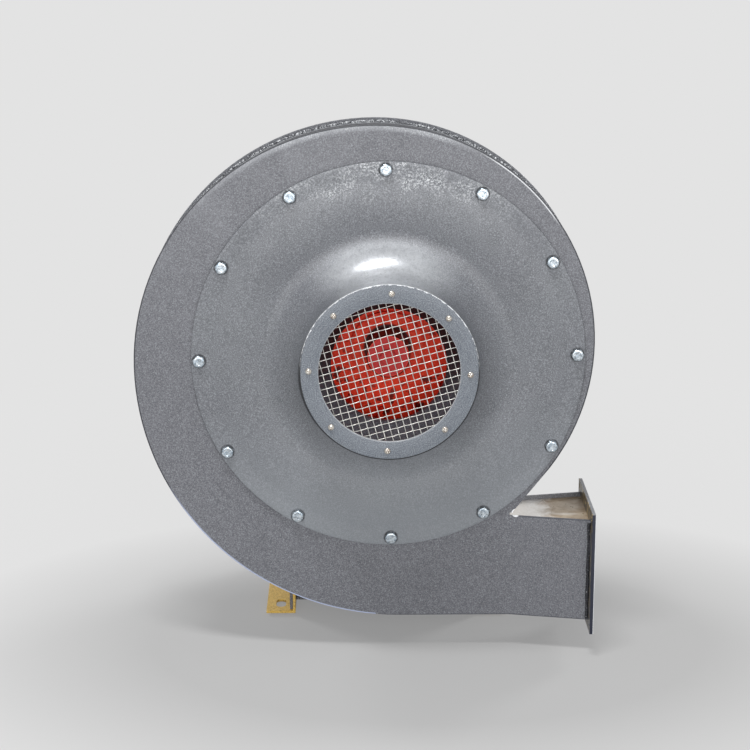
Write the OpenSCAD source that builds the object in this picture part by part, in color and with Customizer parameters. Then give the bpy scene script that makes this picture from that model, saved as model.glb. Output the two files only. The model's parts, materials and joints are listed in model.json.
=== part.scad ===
// High-pressure centrifugal blower with a direct-drive motor on a sheet-metal stand.
// +X is the way the air leaves, +Y runs from the intake to the motor, +Z is up.
// The origin is on the shaft axis, in the front face of the intake ring. Millimetres.

/* [Volute] */
// Radius of the scroll's first arc, at the side plates' edge
scroll_r = 249.7; // [241.7:0.5:262.7]
// How far the first arc's centre lies left of and above the shaft
scroll_off = 14.7; // [11.9:0.2:17.9]
// Growth of the radius from the first arc to the second
scroll_step = 25.3; // [22.3:0.2:30.3]
// Growth of the radius from the second arc to the third
scroll_last_step = 27.2; // [22.2:0.2:31.2]
// Width of the air space between the side plates
air_w = 64; // [56:1:76]
// Thickness of the side plates
plate_t = 3; // [2:0.5:4]
// Thickness of the scroll wrapper
wrap_t = 2; // [1.5:0.5:3]
// How far the side plates stand proud of the wrapper
plate_lap = 5; // [3:0.5:7]

/* [Outlet] */
// Height of the duct over the side plates' edges
duct_h = 122.5; // [111.9:0.2:133.9]
// Length of the duct from the plates' bend line to the flange
duct_len = 92.2; // [80:0.2:110]
// How far each side plate spreads outwards along the duct
flare = 19; // [12:0.5:24]
// Radius of the notch between scroll and duct, at the side plates' edge
tongue_r = 3.3; // [2.5:0.1:5]
// Gap between the first arc and the notch's rounding
tongue_gap = 6.2; // [6:0.2:11]
// Distance from the notch's centre back to the bend line
bend_back = 6.8; // [5:0.2:9]
// Thickness of the outlet flange
flange_t = 4; // [3:0.5:6]
// How far the flange stands out above and below the side plates' edges
flange_lip_z = 11.4; // [11:0.2:15]
// How far the flange stands out in front of and behind the side plates
flange_lip_y = 16.8; // [14:0.2:20]
// Diameter of the flange's bolt holes
flange_hole_d = 7; // [6:0.5:7.5]

/* [Impeller] */
// Outer diameter of the impeller
wheel_d = 400; // [384:2:408]
// Number of blades
blade_count = 12; // [8:1:16]
// Thickness of the blades
blade_t = 3; // [2:0.5:4]
// Width of the blades at the rim
blade_tip_w = 30; // [24:1:34]
// Radius where the blades begin
blade_in_r = 73; // [72.6:0.2:80]
// Radius of each blade's arc
blade_arc_r = 100; // [90:1:108]
// Distance of the blade arc's centre from the shaft
blade_arc_off = 150; // [145:1:156]
// Thickness of the front shroud
shroud_t = 2.5; // [2:0.5:3]
// Radius of the shroud's bend from the eye to the cone
shroud_bend_r = 30; // [26:1:33]
// Slope of the shroud's cone in degrees
shroud_slope = 12; // [8:1:14]
// Thickness of the back disc
disc_t = 4; // [3:0.5:5]
// Gap between the back disc and the rear side plate
disc_gap = 7.6; // [6:0.2:10]
// Diameter of the hub
hub_d = 50; // [46:1:56]
// Diameter of the hub's flange
hub_flange_d = 84; // [80:1:96]
// Distance of the hub cap's face from the origin
hub_face_y = 78; // [76:0.5:82]

/* [Intake] */
// Distance from the ring's face to the cover's flat face
cover_h = 70.6; // [68:0.2:74]
// Thickness of the intake cover
cover_t = 2.5; // [2:0.5:3]
// Thickness of the cover's gasket
gasket_t = 1.5; // [1:0.5:2]
// Outer diameter of the cover's neck
neck_d = 192; // [190:1:196]
// Radius of the bell between the neck and the flat
bell_r = 48; // [40:1:50]
// Number of bolts round the cover
cover_bolt_count = 12; // [8:1:16]
// Thread diameter of the cover bolts
cover_bolt_d = 8; // [6:1:8]
// Outer diameter of the intake ring
ring_d = 199; // [197:0.5:204]
// Thickness of the intake ring
ring_t = 4; // [3:0.5:5]
// Diameter of the intake mouth
mouth_d = 157; // [150:0.5:159]
// Diameter of the circle of the ring's screws
ring_screw_circle = 178.6; // [176:0.2:180]
// Thread diameter of the ring's screws
ring_screw_d = 4; // [3:0.5:4]
// Inner diameter of the cone's throat
throat_d = 130; // [120:1:132]
// Thickness of the cone's sheet
cone_t = 2; // [1.5:0.5:2.5]
// Distance between the wires of the mesh
mesh_pitch = 8.8; // [8.8:0.2:14]
// Width of the wires of the mesh
mesh_wire = 1.2; // [1:0.1:1.8]

/* [Motor] */
// Diameter of the motor's shaft end
shaft_d = 28; // [24:1:30]
// Length of the motor's shaft end
shaft_len = 60; // [54:1:64]
// Outer radius of the frame's barrel
frame_r = 87; // [85:0.5:89]
// Gap between the barrel and the underside of the motor's feet
foot_drop = 13; // [11:0.5:25]
// Distance between the foot holes across the motor
foot_a = 160; // [156:1:166]
// Distance from the frame's front end to the front foot holes
foot_front_in = 27; // [25:1:32]
// Distance from the rear foot holes to the frame's rear end
foot_rear_in = 19; // [19:1:29]
// Gap between the barrel and the circle of the flange's bolts
flange_bolt_out = 20.5; // [19.5:0.5:22.5]
// Distance from that circle to the flange's edge and to its spigot
flange_edge = 17.5; // [15:0.5:20]
// Length of the finned frame
frame_len = 186; // [180:1:196]
// Height of the cooling fins
fin_h = 12; // [8:1:14]
// Length of the stator and rotor cores
core_len = 110; // [100:1:116]
// Thickness of the mounting ring on the rear side plate
mount_ring_t = 12; // [11:0.5:14]

/* [Stand] */
// Height of the shaft over the floor
shaft_height = 351.5; // [338:0.5:372]
// Width of the stand over its cheeks
stand_w = 239; // [235:1:246]
// Thickness of the stand's sheet
stand_t = 4; // [3:0.5:5]
// Thickness of the plate that carries the motor
motor_plate_t = 6; // [5:0.5:8]
// Distance from the motor's flange face to the front of the foot rails
rail_back = 24; // [22:1:28]
// How far the foot rails reach past the rear foot holes
rail_past = 37; // [30:1:50]
// Width of each rail outside the stand's cheek
rail_out = 28.9; // [26:0.1:34]
// Thickness of the foot rails
rail_t = 3; // [2.5:0.5:4]
// Width of the slots in the foot rails
slot_w = 12; // [9:0.5:13]
// Length of the slots in the foot rails
slot_len = 25; // [20:1:30]

/* [Hidden] */
$fn = 96;

// One overrun for every cut, the two clearances for parts that fit together, and how far a straight
// is sunk into the arc that it runs out of
cut = 1;
slip = 0.1;
run_gap = 0.05;
tangent_sink = 0.02;

// Colours as the photograph shows them
housing_grey = [0.50, 0.51, 0.53];
ring_grey = [0.56, 0.58, 0.61];
wheel_red = [0.80, 0.18, 0.13];
zinc = [0.78, 0.79, 0.80];
yellow_zinc = [0.73, 0.64, 0.42];
bare_steel = [0.62, 0.62, 0.64];
copper = [0.72, 0.42, 0.22];
rubber_black = [0.13, 0.13, 0.14];
felt_grey = [0.42, 0.40, 0.38];

// Places along the shaft, from the intake to the motor
mesh_t = 2 * mesh_wire;
mesh_y = ring_t;
cone_y = mesh_y + mesh_t;
neck_face_y = cone_y + cone_t;
cover_back_y = cover_h + cover_t;
front_y = cover_back_y + gasket_t;
air_front_y = front_y + plate_t;
air_back_y = air_front_y + air_w;
rear_face_y = air_back_y + plate_t;
mid_y = (front_y + rear_face_y) / 2;
motor_y = rear_face_y + mount_ring_t;
disc_back_y = air_back_y - disc_gap;
disc_front_y = disc_back_y - disc_t;

// Scroll of three arcs round the corners of a square, as centre points in X and Z
arc_a = [-scroll_off, scroll_off];
arc_b = arc_a - [0, scroll_step];
arc_c = arc_b + [scroll_last_step, 0];
r_b = scroll_r + scroll_step;
r_c = r_b + scroll_last_step;
duct_z0 = arc_c[1] - r_c;
duct_z1 = duct_z0 + duct_h;
tongue_dist = scroll_r + tongue_r + tongue_gap;
tongue_z = duct_z1 + tongue_r;
tongue_x = arc_a[0] + sqrt(pow(tongue_dist, 2) - pow(tongue_z - arc_a[1], 2));
tongue = [tongue_x, tongue_z];
tongue_angle = atan2(tongue_z - arc_a[1], tongue_x - arc_a[0])
    + acos((scroll_r + tongue_r) / tongue_dist);
tongue_lap_angle = 5;
bend_x = tongue_x - bend_back;
duct_x = bend_x + duct_len;
reach = r_c + duct_x;

// Outlet flange
duct_mid_z = (duct_z0 + duct_z1) / 2;
flange_w = air_w + 2 * (plate_t + flare + flange_lip_y);
flange_h = duct_h + 2 * flange_lip_z;
flange_open_w = air_w + 2 * flare;
flange_open_h = duct_h - 2 * (plate_lap + wrap_t);
flange_hole_y = flange_w / 2 - flange_lip_y / 2;
flange_hole_z = flange_h / 2 - flange_lip_z / 2 - wrap_t / 2;

// Cover and its bolts
wheel_r = wheel_d / 2;
wheel_pass = 6;
bolt_edge = 9;
cover_open_r = wheel_r + wheel_pass;
cover_bolt_r = cover_open_r + bolt_edge;
cover_r = cover_bolt_r + bolt_edge;
bolt_clear = 0.5;
across_share = 1.6;
head_share = 0.65;
nut_share = 0.8;
weld_nut_share = 1.45;
cover_bolt_turn = 0.8;
ring_screw_turn = -1.5;
ring_screw_count = 8;
screw_head_share = 1.7;
screw_head_h_share = 0.55;
neck_r = neck_d / 2;
mouth_r = mouth_d / 2;
throat_r = throat_d / 2;
cone_mouth_r = mouth_r + slip;
neck_lip_r = cone_mouth_r + cone_t + slip;
cone_flange_r = ring_d / 2 - 2 * cone_t;
mesh_turn = 15;

// Impeller
eye_gap = 3;
eye_lap = 6;
lip_len = 8;
weld_gap = 0.1;
eye_r = throat_r + cone_t + eye_gap;
bend_c_r = eye_r + shroud_t + shroud_bend_r;
bend_end_r = bend_c_r - shroud_bend_r * sin(shroud_slope);
shroud_rim_y = disc_front_y - blade_tip_w - shroud_t / cos(shroud_slope);
bend_c_y = shroud_rim_y - (wheel_r - bend_end_r) * tan(shroud_slope)
    - shroud_bend_r * cos(shroud_slope);
lip_y = bend_c_y - lip_len;
throat_end_y = lip_y + eye_lap;
throat_len = 8;
hub_r = hub_d / 2;
shaft_r = shaft_d / 2;
cap_t = 5;
hub_front_y = hub_face_y + cap_t;
hub_back_y = disc_back_y + disc_gap / 2;
spigot_share = 1.16;
hub_spigot_r = hub_r * spigot_share;
hub_flange_t = 8;
hub_flange_y = disc_front_y - hub_flange_t;
rivet_count = 8;
rivet_r = 3.5;
rivet_head_r = 6;
rivet_head_h = 1.6;
rivet_circle_r = (hub_flange_d / 2 + hub_spigot_r) / 2;
shaft_tip_y = motor_y - shaft_len;
cap_bolt_d = 10;
cap_bolt_len = 34;
key_w = 8;
key_h = 7;
key_len = 36;
key_bite = 3.5;

// Motor
motor_h = frame_r + foot_drop;
flange_bolt_r = frame_r + flange_bolt_out;
motor_flange_r = flange_bolt_r + flange_edge;
spigot_r = flange_bolt_r - flange_edge;
spigot_h = 4;
mount_ring_edge = 5;
mount_ring_r = motor_flange_r + mount_ring_edge;
flange_bolt_d = 12;
flange_bolt_count = 4;
motor_flange_t = 12;
seal_plate_t = 3;
seal_t = mount_ring_t - spigot_h - seal_plate_t;
seal_r = 42;
seal_plate_r = 60;
shaft_gap = 1.5;
shaft_hole_r = shaft_r + shaft_gap;
seal_gap = 0.4;
bearing_bore_r = 15;
bearing_in_r = 19.5;
bearing_out_r = 26.5;
bearing_r = 31;
bearing_w = 16;
ball_r = 4.7;
ball_count = 9;
shield_wall = 8;
bell_len = 24;
bearing_y = motor_y + motor_flange_t + shield_wall / 2;
frame_y = motor_y + motor_flange_t + bell_len;
frame_end_y = frame_y + frame_len;
register_len = 8;
register_t = 5;
barrel_t = 7;
bore_r = frame_r - barrel_t;
fin_count = 40;
fin_t = 2.5;
fin_free_angle = 34;
foot_t = 10;
foot_pad_w = 46;
foot_pad_out = 20;
foot_web_t = 12;
foot_hole_d = 12;
foot_pad_len = 36;
foot_front_y = frame_y + foot_front_in;
foot_b = frame_len - foot_front_in - foot_rear_in;
stator_out_r = bore_r - slip;
stator_in_share = 0.6;
stator_in_r = stator_out_r * stator_in_share;
air_gap = 0.5;
rotor_r = stator_in_r - air_gap;
core_y = frame_y + (frame_len - core_len) / 2;
winding_len = 22;
winding_out_share = 0.876;
winding_in_share = 0.676;
winding_turn_share = 0.375;
winding_out_r = stator_out_r * winding_out_share;
winding_in_r = stator_out_r * winding_in_share;
winding_turn_r = (winding_out_r - winding_in_r) * winding_turn_share;
shaft_mid_r = 19;
end_ring_w = 10;
end_ring_t = 12;
rear_wall_t = 8;
rear_bearing_y = frame_end_y + rear_wall_t - bearing_w;
spring_t = 2;
tail_r = 12.5;
fan_gap = 10;
fan_y = frame_end_y + rear_wall_t + fan_gap;
fan_disc_t = 4;
fan_w = 26;
fan_share = 0.85;
fan_r = frame_r * fan_share;
fan_hub_r = 20;
fan_blade_t = 3;
fan_blade_count = 7;
circlip_t = 1.5;
circlip_w = 4;
tail_end = 2;
tail_y = fan_y + fan_w + circlip_t + tail_end;
shield_bolt_d = 8;
shield_bolt_count = 4;
shield_bolt_r = frame_r + shield_bolt_d;
lug_r = 9;
lug_len = 22;
rim_len = 18;
cowl_t = 1.5;
cowl_gap = 10;
cowl_r = frame_r + slip;
cowl_y = frame_end_y + shield_wall + shield_bolt_d * head_share + cut;
cowl_end_y = tail_y + cowl_gap;
cowl_slots = 20;
cowl_slot_w = 6;
cowl_slot_in_share = 0.34;
cowl_slot_out_share = 0.86;
cowl_screw_d = 5;
cowl_screw_count = 4;

// Terminal box on the frame's top, and the lifting eye behind it
box_w = 96;
box_len_share = 0.516;
box_d = frame_len * box_len_share;
box_h = 44;
box_wall = 3;
box_r = 8;
box_pad_h = 5;
box_base_z = frame_r + box_pad_h;
box_place_share = 0.398;
box_y = frame_y + frame_len * box_place_share;
lid_t = 5;
box_gasket_t = 1.5;
lid_screw_d = 5;
lid_boss_r = 7.5;
lid_boss_in = 9;
board_w = 52;
board_d = 34;
board_t = 8;
stud_r = 2.5;
stud_len = 12;
gland_d = 20;
gland_len = 16;
gland_nut_share = 1.35;
gland_cap_len = 11;
eye_place_share = 0.806;
eye_y = frame_y + frame_len * eye_place_share;
eye_ring_r = 15;
eye_wire_r = 5;
eye_collar_r = 12;
eye_collar_h = 6;
eye_boss_r = 14;
eye_boss_h = 8;
eye_stem_len = 10;

// Stand
floor_z = -shaft_height;
cheek_x = stand_w / 2;
rail_y = motor_y + rail_back;
rail_len = foot_front_y + foot_b + rail_past - rail_y;
rail_end = 6;
rail_leg_h = 44;
rail_bolt_share = 0.6;
cheek_y = rail_y + rail_end;
cheek_len = rail_len - 2 * rail_end;
cheek_lip = 28;
plate_z = -motor_h - motor_plate_t;
slot_front = 27;
slot_in = 3;
panel_in = 42;
panel_lip = 13;
panel_rise = 6;
panel_gap = 0.3;
panel_drop = 24;
stand_bolt_d = 8;
foot_bolt_d = 10;
rail_bolt_z = floor_z + rail_leg_h * rail_bolt_share;
rail_bolt_in = 70;
plate_bolt_x = cheek_x - cheek_lip / 2 + stand_t / 2;
plate_bolt_ys = [foot_front_y + foot_b / 4, foot_front_y + 3 * foot_b / 4];
rail_bolt_ys = [rail_y + rail_bolt_in, rail_y + rail_len - rail_bolt_in];
cheek_z = floor_z + rail_t;

// Lays a flat shape in the XZ plane and gives it a length along Y
module along_y(y0, len) {
    translate([0, y0 + len, 0]) rotate([90, 0, 0]) linear_extrude(len) children();
}

// Turns a profile of radius and place along Y about the shaft axis
module turned() {
    rotate([-90, 0, 0]) rotate_extrude() children();
}

// Plain ring about the shaft axis
module band(y0, len, r_out, r_in) {
    turned() translate([r_in, y0]) square([r_out - r_in, len]);
}

// Round bar along Y
module rod(y0, len, r) {
    translate([0, y0, 0]) rotate([-90, 0, 0]) cylinder(h = len, r = r);
}

// Copies on a circle about the shaft axis
module around(count, r, turn) {
    for (i = [0:count - 1])
        rotate([0, -turn - 360 * i / count, 0]) translate([r, 0, 0]) children();
}

// Six-sided head with a shank, the head below zero and the shank up along +Z
module hex_bolt(d, len) {
    head = d * head_share;
    translate([0, 0, -head]) cylinder(h = head, d = d * across_share / cos(30), $fn = 6);
    translate([0, 0, -head / 2]) cylinder(h = len + head / 2, d = d);
}

// Six-sided nut standing on zero
module hex_nut(d) {
    difference() {
        cylinder(h = d * nut_share, d = d * across_share / cos(30), $fn = 6);
        translate([0, 0, -cut]) cylinder(h = d * nut_share + 2 * cut, d = d + 2 * run_gap);
    }
}

// Domed screw head with a shank, the head below zero and the shank up along +Z
module pan_screw(d, len) {
    head_r = d * screw_head_share / 2;
    head_h = d * screw_head_h_share;
    rotate_extrude() {
        difference() {
            translate([0, -head_h]) square([head_r, head_h]);
            difference() {
                translate([head_r - head_h / 2, -head_h - cut]) square(head_h / 2 + cut);
                translate([head_r - head_h / 2, -head_h / 2]) circle(head_h / 2);
            }
        }
        square([d / 2, len]);
    }
}

// Rectangle with round corners, about its centre
module rounded(w, d, r) {
    square([w - 2 * r, d], center = true);
    square([w, d - 2 * r], center = true);
    for (x = [-1, 1], y = [-1, 1])
        translate([x * (w / 2 - r), y * (d / 2 - r)]) circle(r);
}

function at(c, r, a) = [c[0] + r * cos(a), c[1] + r * sin(a)];

// Part of a disc between two directions less than 180 degrees apart
module sector(c, r, a0, a1) {
    intersection() {
        translate(c) circle(r, $fn = 360);
        polygon([c, at(c, 2 * r, a0), at(c, 2 * r, (3 * a0 + a1) / 4), at(c, 2 * r, (a0 + a1) / 2),
            at(c, 2 * r, (a0 + 3 * a1) / 4), at(c, 2 * r, a1)]);
    }
}

// Outline of the volute, drawn in by inset and open to the right up to end_x
module scroll_2d(inset, end_x) {
    difference() {
        union() {
            sector(arc_a, scroll_r - inset, tongue_angle - tongue_lap_angle, 90);
            sector(arc_b, r_b - inset, 90, 180);
            sector(arc_c, r_c - inset, 180, 270);
            polygon([at(arc_a, scroll_r / 2, 60), at(arc_a, scroll_r - inset - tangent_sink, tongue_angle),
                at(tongue, tangent_sink - tongue_r - inset, tongue_angle), tongue,
                [tongue_x, duct_z1 - inset + tangent_sink], [end_x, duct_z1 - inset],
                [end_x, duct_z0 + inset], [arc_c[0], duct_z0 + inset],
                at(arc_c, r_c / 2, 225), at(arc_b, r_b / 2, 135)]);
        }
        translate(tongue) circle(tongue_r + inset);
    }
}

// Side plate: flat over the scroll and bent outwards along the duct, side is -1 front or 1 rear
module side_plate(y0, side) {
    spread = side * flare;
    along_y(y0, plate_t)
    difference() {
        scroll_2d(0, bend_x);
        translate([bend_x, -reach]) square([reach, reach + tongue_z]);
    }
    translate([0, 0, duct_z0]) linear_extrude(duct_h)
        polygon([[bend_x, y0], [duct_x, y0 + spread], [duct_x, y0 + plate_t + spread],
            [bend_x, y0 + plate_t]]);
}

module front_side_plate() {
    color(housing_grey)
    difference() {
        side_plate(front_y, -1);
        rod(front_y - cut, plate_t + 2 * cut, cover_open_r);
        around(cover_bolt_count, cover_bolt_r, 90 + cover_bolt_turn)
            rod(front_y - cut, plate_t + 2 * cut, cover_bolt_d / 2 + bolt_clear);
    }
}

module rear_side_plate() {
    color(housing_grey)
    difference() {
        side_plate(air_back_y, 1);
        rod(air_back_y - cut, plate_t + 2 * cut, shaft_hole_r);
    }
}

// Wall of the duct between the spread side plates, from the notch to the flange
module duct_wall(z0) {
    spread = flare * bend_back / duct_len;
    translate([0, 0, z0]) linear_extrude(wrap_t)
        polygon([[tongue_x, air_front_y - spread], [duct_x, air_front_y - flare],
            [duct_x, air_back_y + flare], [tongue_x, air_back_y + spread]]);
}

// Wrapper: one strip bent round the scroll and the notch, then the duct's bottom and top walls
module scroll_wrapper() {
    color(housing_grey) {
        along_y(air_front_y, air_w)
        difference() {
            scroll_2d(plate_lap, duct_x);
            scroll_2d(plate_lap + wrap_t, duct_x + cut);
            translate([tongue_x, -reach]) square([reach, reach + tongue_z]);
        }
        duct_wall(duct_z0 + plate_lap);
        duct_wall(duct_z1 - plate_lap - wrap_t);
    }
}

module outlet_flange() {
    color(housing_grey)
    translate([duct_x, mid_y, duct_mid_z]) rotate([90, 0, 90])
    linear_extrude(flange_t)
    difference() {
        square([flange_w, flange_h], center = true);
        square([flange_open_w, flange_open_h], center = true);
        for (y = [-1, 0, 1], z = [-1, 0, 1])
            if (y != 0 || z != 0)
                translate([y * flange_hole_y, z * flange_hole_z]) circle(d = flange_hole_d);
    }
}

// Spun cover: flat rim, bell, neck, and a lip turned in behind the ring
module intake_cover() {
    bell_c = [neck_r + bell_r, cover_h - bell_r];
    color(housing_grey)
    difference() {
        turned() {
            translate([bell_c[0], cover_h]) square([cover_r - bell_c[0], cover_t]);
            intersection() {
                difference() {
                    translate(bell_c) circle(bell_r + cover_t);
                    translate(bell_c) circle(bell_r);
                }
                translate([neck_r - cover_t, bell_c[1]]) square(bell_r + cover_t);
            }
            translate([neck_r - cover_t, neck_face_y]) square([cover_t, bell_c[1] - neck_face_y]);
            translate([neck_lip_r, neck_face_y]) square([neck_r - neck_lip_r, cover_t]);
        }
        around(cover_bolt_count, cover_bolt_r, 90 + cover_bolt_turn)
            rod(cover_h - cut, cover_t + 2 * cut, cover_bolt_d / 2 + bolt_clear);
        around(ring_screw_count, ring_screw_circle / 2, 90 + ring_screw_turn)
            rod(neck_face_y - cut, cover_t + 2 * cut, ring_screw_d / 2 + slip);
    }
}

module cover_gasket() {
    color(rubber_black)
    difference() {
        band(cover_back_y, gasket_t, cover_r - bolt_clear, cover_open_r);
        around(cover_bolt_count, cover_bolt_r, 90 + cover_bolt_turn)
            rod(cover_back_y - cut, gasket_t + 2 * cut, cover_bolt_d / 2 + bolt_clear);
    }
}

module cover_bolts() {
    color(zinc)
    around(cover_bolt_count, cover_bolt_r, 90 + cover_bolt_turn)
        translate([0, cover_h, 0]) rotate([-90, 30, 0])
            hex_bolt(cover_bolt_d, cover_t + gasket_t + plate_t + cover_bolt_d);
}

// Round nuts behind the front plate, slim enough to pass the wrapper beside the notch
module cover_weld_nuts() {
    len = cover_bolt_d * nut_share;
    color(bare_steel)
    around(cover_bolt_count, cover_bolt_r, 90 + cover_bolt_turn)
        difference() {
            rod(air_front_y, len, cover_bolt_d * weld_nut_share / 2);
            rod(air_front_y - cut, len + 2 * cut, cover_bolt_d / 2 + run_gap);
        }
}

module intake_ring() {
    color(ring_grey)
    difference() {
        band(0, ring_t, ring_d / 2, mouth_r);
        around(ring_screw_count, ring_screw_circle / 2, 90 + ring_screw_turn)
            rod(-cut, ring_t + 2 * cut, ring_screw_d / 2 + slip);
    }
}

// Mesh: two sets of square wires crossing at right angles, held in a flat rim under the ring
module intake_mesh() {
    rim_r = ring_screw_circle / 2 - ring_screw_d;
    half = mesh_pitch * ceil(mouth_r / mesh_pitch);
    color(zinc)
    along_y(mesh_y, mesh_t) {
        difference() {
            circle(rim_r);
            circle(mouth_r + mesh_wire);
        }
        intersection() {
            circle(mouth_r + 2 * mesh_wire);
            rotate(mesh_turn)
            for (a = [0, 90])
                rotate(a) for (x = [-half:mesh_pitch:half])
                    translate([x - mesh_wire / 2, -2 * mouth_r]) square([mesh_wire, 4 * mouth_r]);
        }
    }
}

// Cone: flange behind the mesh, straight taper and a short throat inside the impeller's eye
module intake_cone() {
    color(housing_grey)
    difference() {
        turned()
            polygon([[cone_mouth_r, cone_y], [cone_flange_r, cone_y], [cone_flange_r, neck_face_y],
                [cone_mouth_r + cone_t, neck_face_y], [throat_r + cone_t, throat_end_y - throat_len],
                [throat_r + cone_t, throat_end_y], [throat_r, throat_end_y],
                [throat_r, throat_end_y - throat_len], [cone_mouth_r, neck_face_y]]);
        around(ring_screw_count, ring_screw_circle / 2, 90 + ring_screw_turn)
            rod(cone_y - cut, cone_t + 2 * cut, ring_screw_d / 2 + slip);
    }
}

module ring_screws() {
    color(zinc)
    around(ring_screw_count, ring_screw_circle / 2, 90 + ring_screw_turn)
        rotate([-90, 0, 0]) pan_screw(ring_screw_d, neck_face_y + cover_t + ring_screw_d);
}

module ring_nuts() {
    color(zinc)
    around(ring_screw_count, ring_screw_circle / 2, 90 + ring_screw_turn)
        translate([0, neck_face_y + cover_t, 0]) rotate([-90, 0, 0]) hex_nut(ring_screw_d);
}

module motor_mount_ring() {
    color(housing_grey)
    difference() {
        band(rear_face_y, mount_ring_t, mount_ring_r, spigot_r + slip);
        around(flange_bolt_count, flange_bolt_r, 45)
            rod(rear_face_y - cut, mount_ring_t + 2 * cut, flange_bolt_d / 2 + run_gap);
    }
}

module shaft_seal() {
    color(felt_grey) band(rear_face_y, seal_t, seal_r, shaft_r + seal_gap);
}

module seal_plate() {
    color(bare_steel) band(rear_face_y + seal_t, seal_plate_t, seal_plate_r, shaft_hole_r);
}

module flange_bolts() {
    color(zinc)
    around(flange_bolt_count, flange_bolt_r, 45)
        translate([0, motor_y + motor_flange_t, 0]) rotate([90, 0, 0])
            hex_bolt(flange_bolt_d, motor_flange_t + mount_ring_t - cut);
}

module wheel_back_disc() {
    color(wheel_red)
    difference() {
        band(disc_front_y, disc_t, wheel_r, hub_spigot_r);
        around(rivet_count, rivet_circle_r, 0)
            rod(disc_front_y - cut, disc_t + 2 * cut, rivet_r);
    }
}

// Shroud profile from the eye's lip round the bend and out along the cone
module shroud_2d() {
    translate([eye_r, lip_y]) square([shroud_t, lip_len]);
    intersection() {
        difference() {
            translate([bend_c_r, bend_c_y]) circle(shroud_bend_r + shroud_t);
            translate([bend_c_r, bend_c_y]) circle(shroud_bend_r);
        }
        polygon([[bend_c_r, bend_c_y], [eye_r - cut, bend_c_y],
            [eye_r - cut, bend_c_y + 2 * shroud_bend_r],
            at([bend_c_r, bend_c_y], 2 * shroud_bend_r, 90 + shroud_slope)]);
    }
    polygon([at([bend_c_r, bend_c_y], shroud_bend_r, 90 + shroud_slope),
        at([bend_c_r, bend_c_y], shroud_bend_r + shroud_t, 90 + shroud_slope),
        [wheel_r, shroud_rim_y + shroud_t / cos(shroud_slope)], [wheel_r, shroud_rim_y]]);
}

module wheel_shroud() {
    color(wheel_red) turned() shroud_2d();
}

// Space that the blades fill between the shroud and the back disc, as a profile
module blade_room_2d() {
    bend_r = shroud_bend_r + shroud_t + weld_gap;
    bend_c = [bend_c_r, bend_c_y];
    cone_in = at(bend_c, bend_r, 90 + shroud_slope);
    rim_y = cone_in[1] + (wheel_r - cone_in[0]) * tan(shroud_slope);
    difference() {
        polygon([[blade_in_r, bend_c_y], [bend_c_r, bend_c_y], cone_in, [wheel_r, rim_y],
            [wheel_r, disc_front_y - weld_gap], [blade_in_r, disc_front_y - weld_gap]]);
        translate(bend_c) circle(bend_r);
    }
}

// One blade: a sheet curved to one arc, its tip leaning the way the wheel turns
module blade_2d() {
    intersection() {
        difference() {
            translate([blade_arc_off, 0]) circle(blade_arc_r + blade_t / 2, $fn = 180);
            translate([blade_arc_off, 0]) circle(blade_arc_r - blade_t / 2, $fn = 180);
        }
        translate([0, -wheel_d]) square([wheel_d, wheel_d]);
    }
}

module wheel_blades() {
    color(wheel_red)
    intersection() {
        around(blade_count, 0, 0)
            along_y(bend_c_y, disc_front_y - bend_c_y) blade_2d();
        turned() blade_room_2d();
    }
}

module wheel_hub() {
    color(wheel_red)
    difference() {
        turned()
            polygon([[shaft_r + run_gap, hub_front_y], [hub_r, hub_front_y], [hub_r, hub_flange_y],
                [hub_flange_d / 2, hub_flange_y], [hub_flange_d / 2, disc_front_y],
                [hub_spigot_r - slip, disc_front_y], [hub_spigot_r - slip, hub_back_y],
                [shaft_r + run_gap, hub_back_y]]);
        around(rivet_count, rivet_circle_r, 0)
            rod(hub_flange_y - cut, hub_flange_t + 2 * cut, rivet_r);
        key_slot(slip);
    }
}

// Box of the key's place, drawn out by a clearance
module key_slot(gap) {
    translate([-key_w / 2 - gap, shaft_tip_y + key_h, shaft_r - key_bite - gap])
        cube([key_w + 2 * gap, key_len, key_h + 2 * gap]);
}

module hub_rivets() {
    color(wheel_red)
    around(rivet_count, rivet_circle_r, 0) {
        rod(hub_flange_y - rivet_head_h, rivet_head_h, rivet_head_r);
        rod(hub_flange_y - rivet_head_h / 2, hub_flange_t + disc_t + rivet_head_h, rivet_r - slip);
        rod(disc_back_y, rivet_head_h, rivet_head_r);
    }
}

// Cap: a disc over the hub's end with a spigot down to the shaft's tip
module hub_cap() {
    color(wheel_red)
    turned()
        polygon([[cap_bolt_d / 2 + slip, hub_face_y], [hub_r - cut, hub_face_y],
            [hub_r, hub_face_y + cut], [hub_r, hub_front_y], [shaft_r - slip, hub_front_y],
            [shaft_r - slip, shaft_tip_y - cut], [cap_bolt_d / 2 + slip, shaft_tip_y - cut]]);
}

module hub_cap_bolt() {
    color(wheel_red)
    translate([0, hub_face_y, 0]) rotate([-90, 0, 0]) hex_bolt(cap_bolt_d, cap_bolt_len);
}

module shaft_key() {
    color(bare_steel) key_slot(0);
}

// Shaft: fan end, drive bearing seat, core seat, rear bearing seat and tail
module motor_shaft() {
    seat = bearing_bore_r;
    color(bare_steel)
    difference() {
        turned()
            polygon([[0, shaft_tip_y], [shaft_r - cut, shaft_tip_y], [shaft_r, shaft_tip_y + cut],
                [shaft_r, motor_y], [seat, motor_y + cut], [seat, bearing_y + bearing_w],
                [shaft_mid_r, bearing_y + bearing_w], [shaft_mid_r, rear_bearing_y],
                [seat, rear_bearing_y], [seat, rear_bearing_y + bearing_w],
                [tail_r, rear_bearing_y + bearing_w], [tail_r, tail_y], [0, tail_y]]);
        key_slot(0);
        rod(shaft_tip_y - cut, cap_bolt_len, cap_bolt_d / 2 + run_gap);
    }
}

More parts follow.
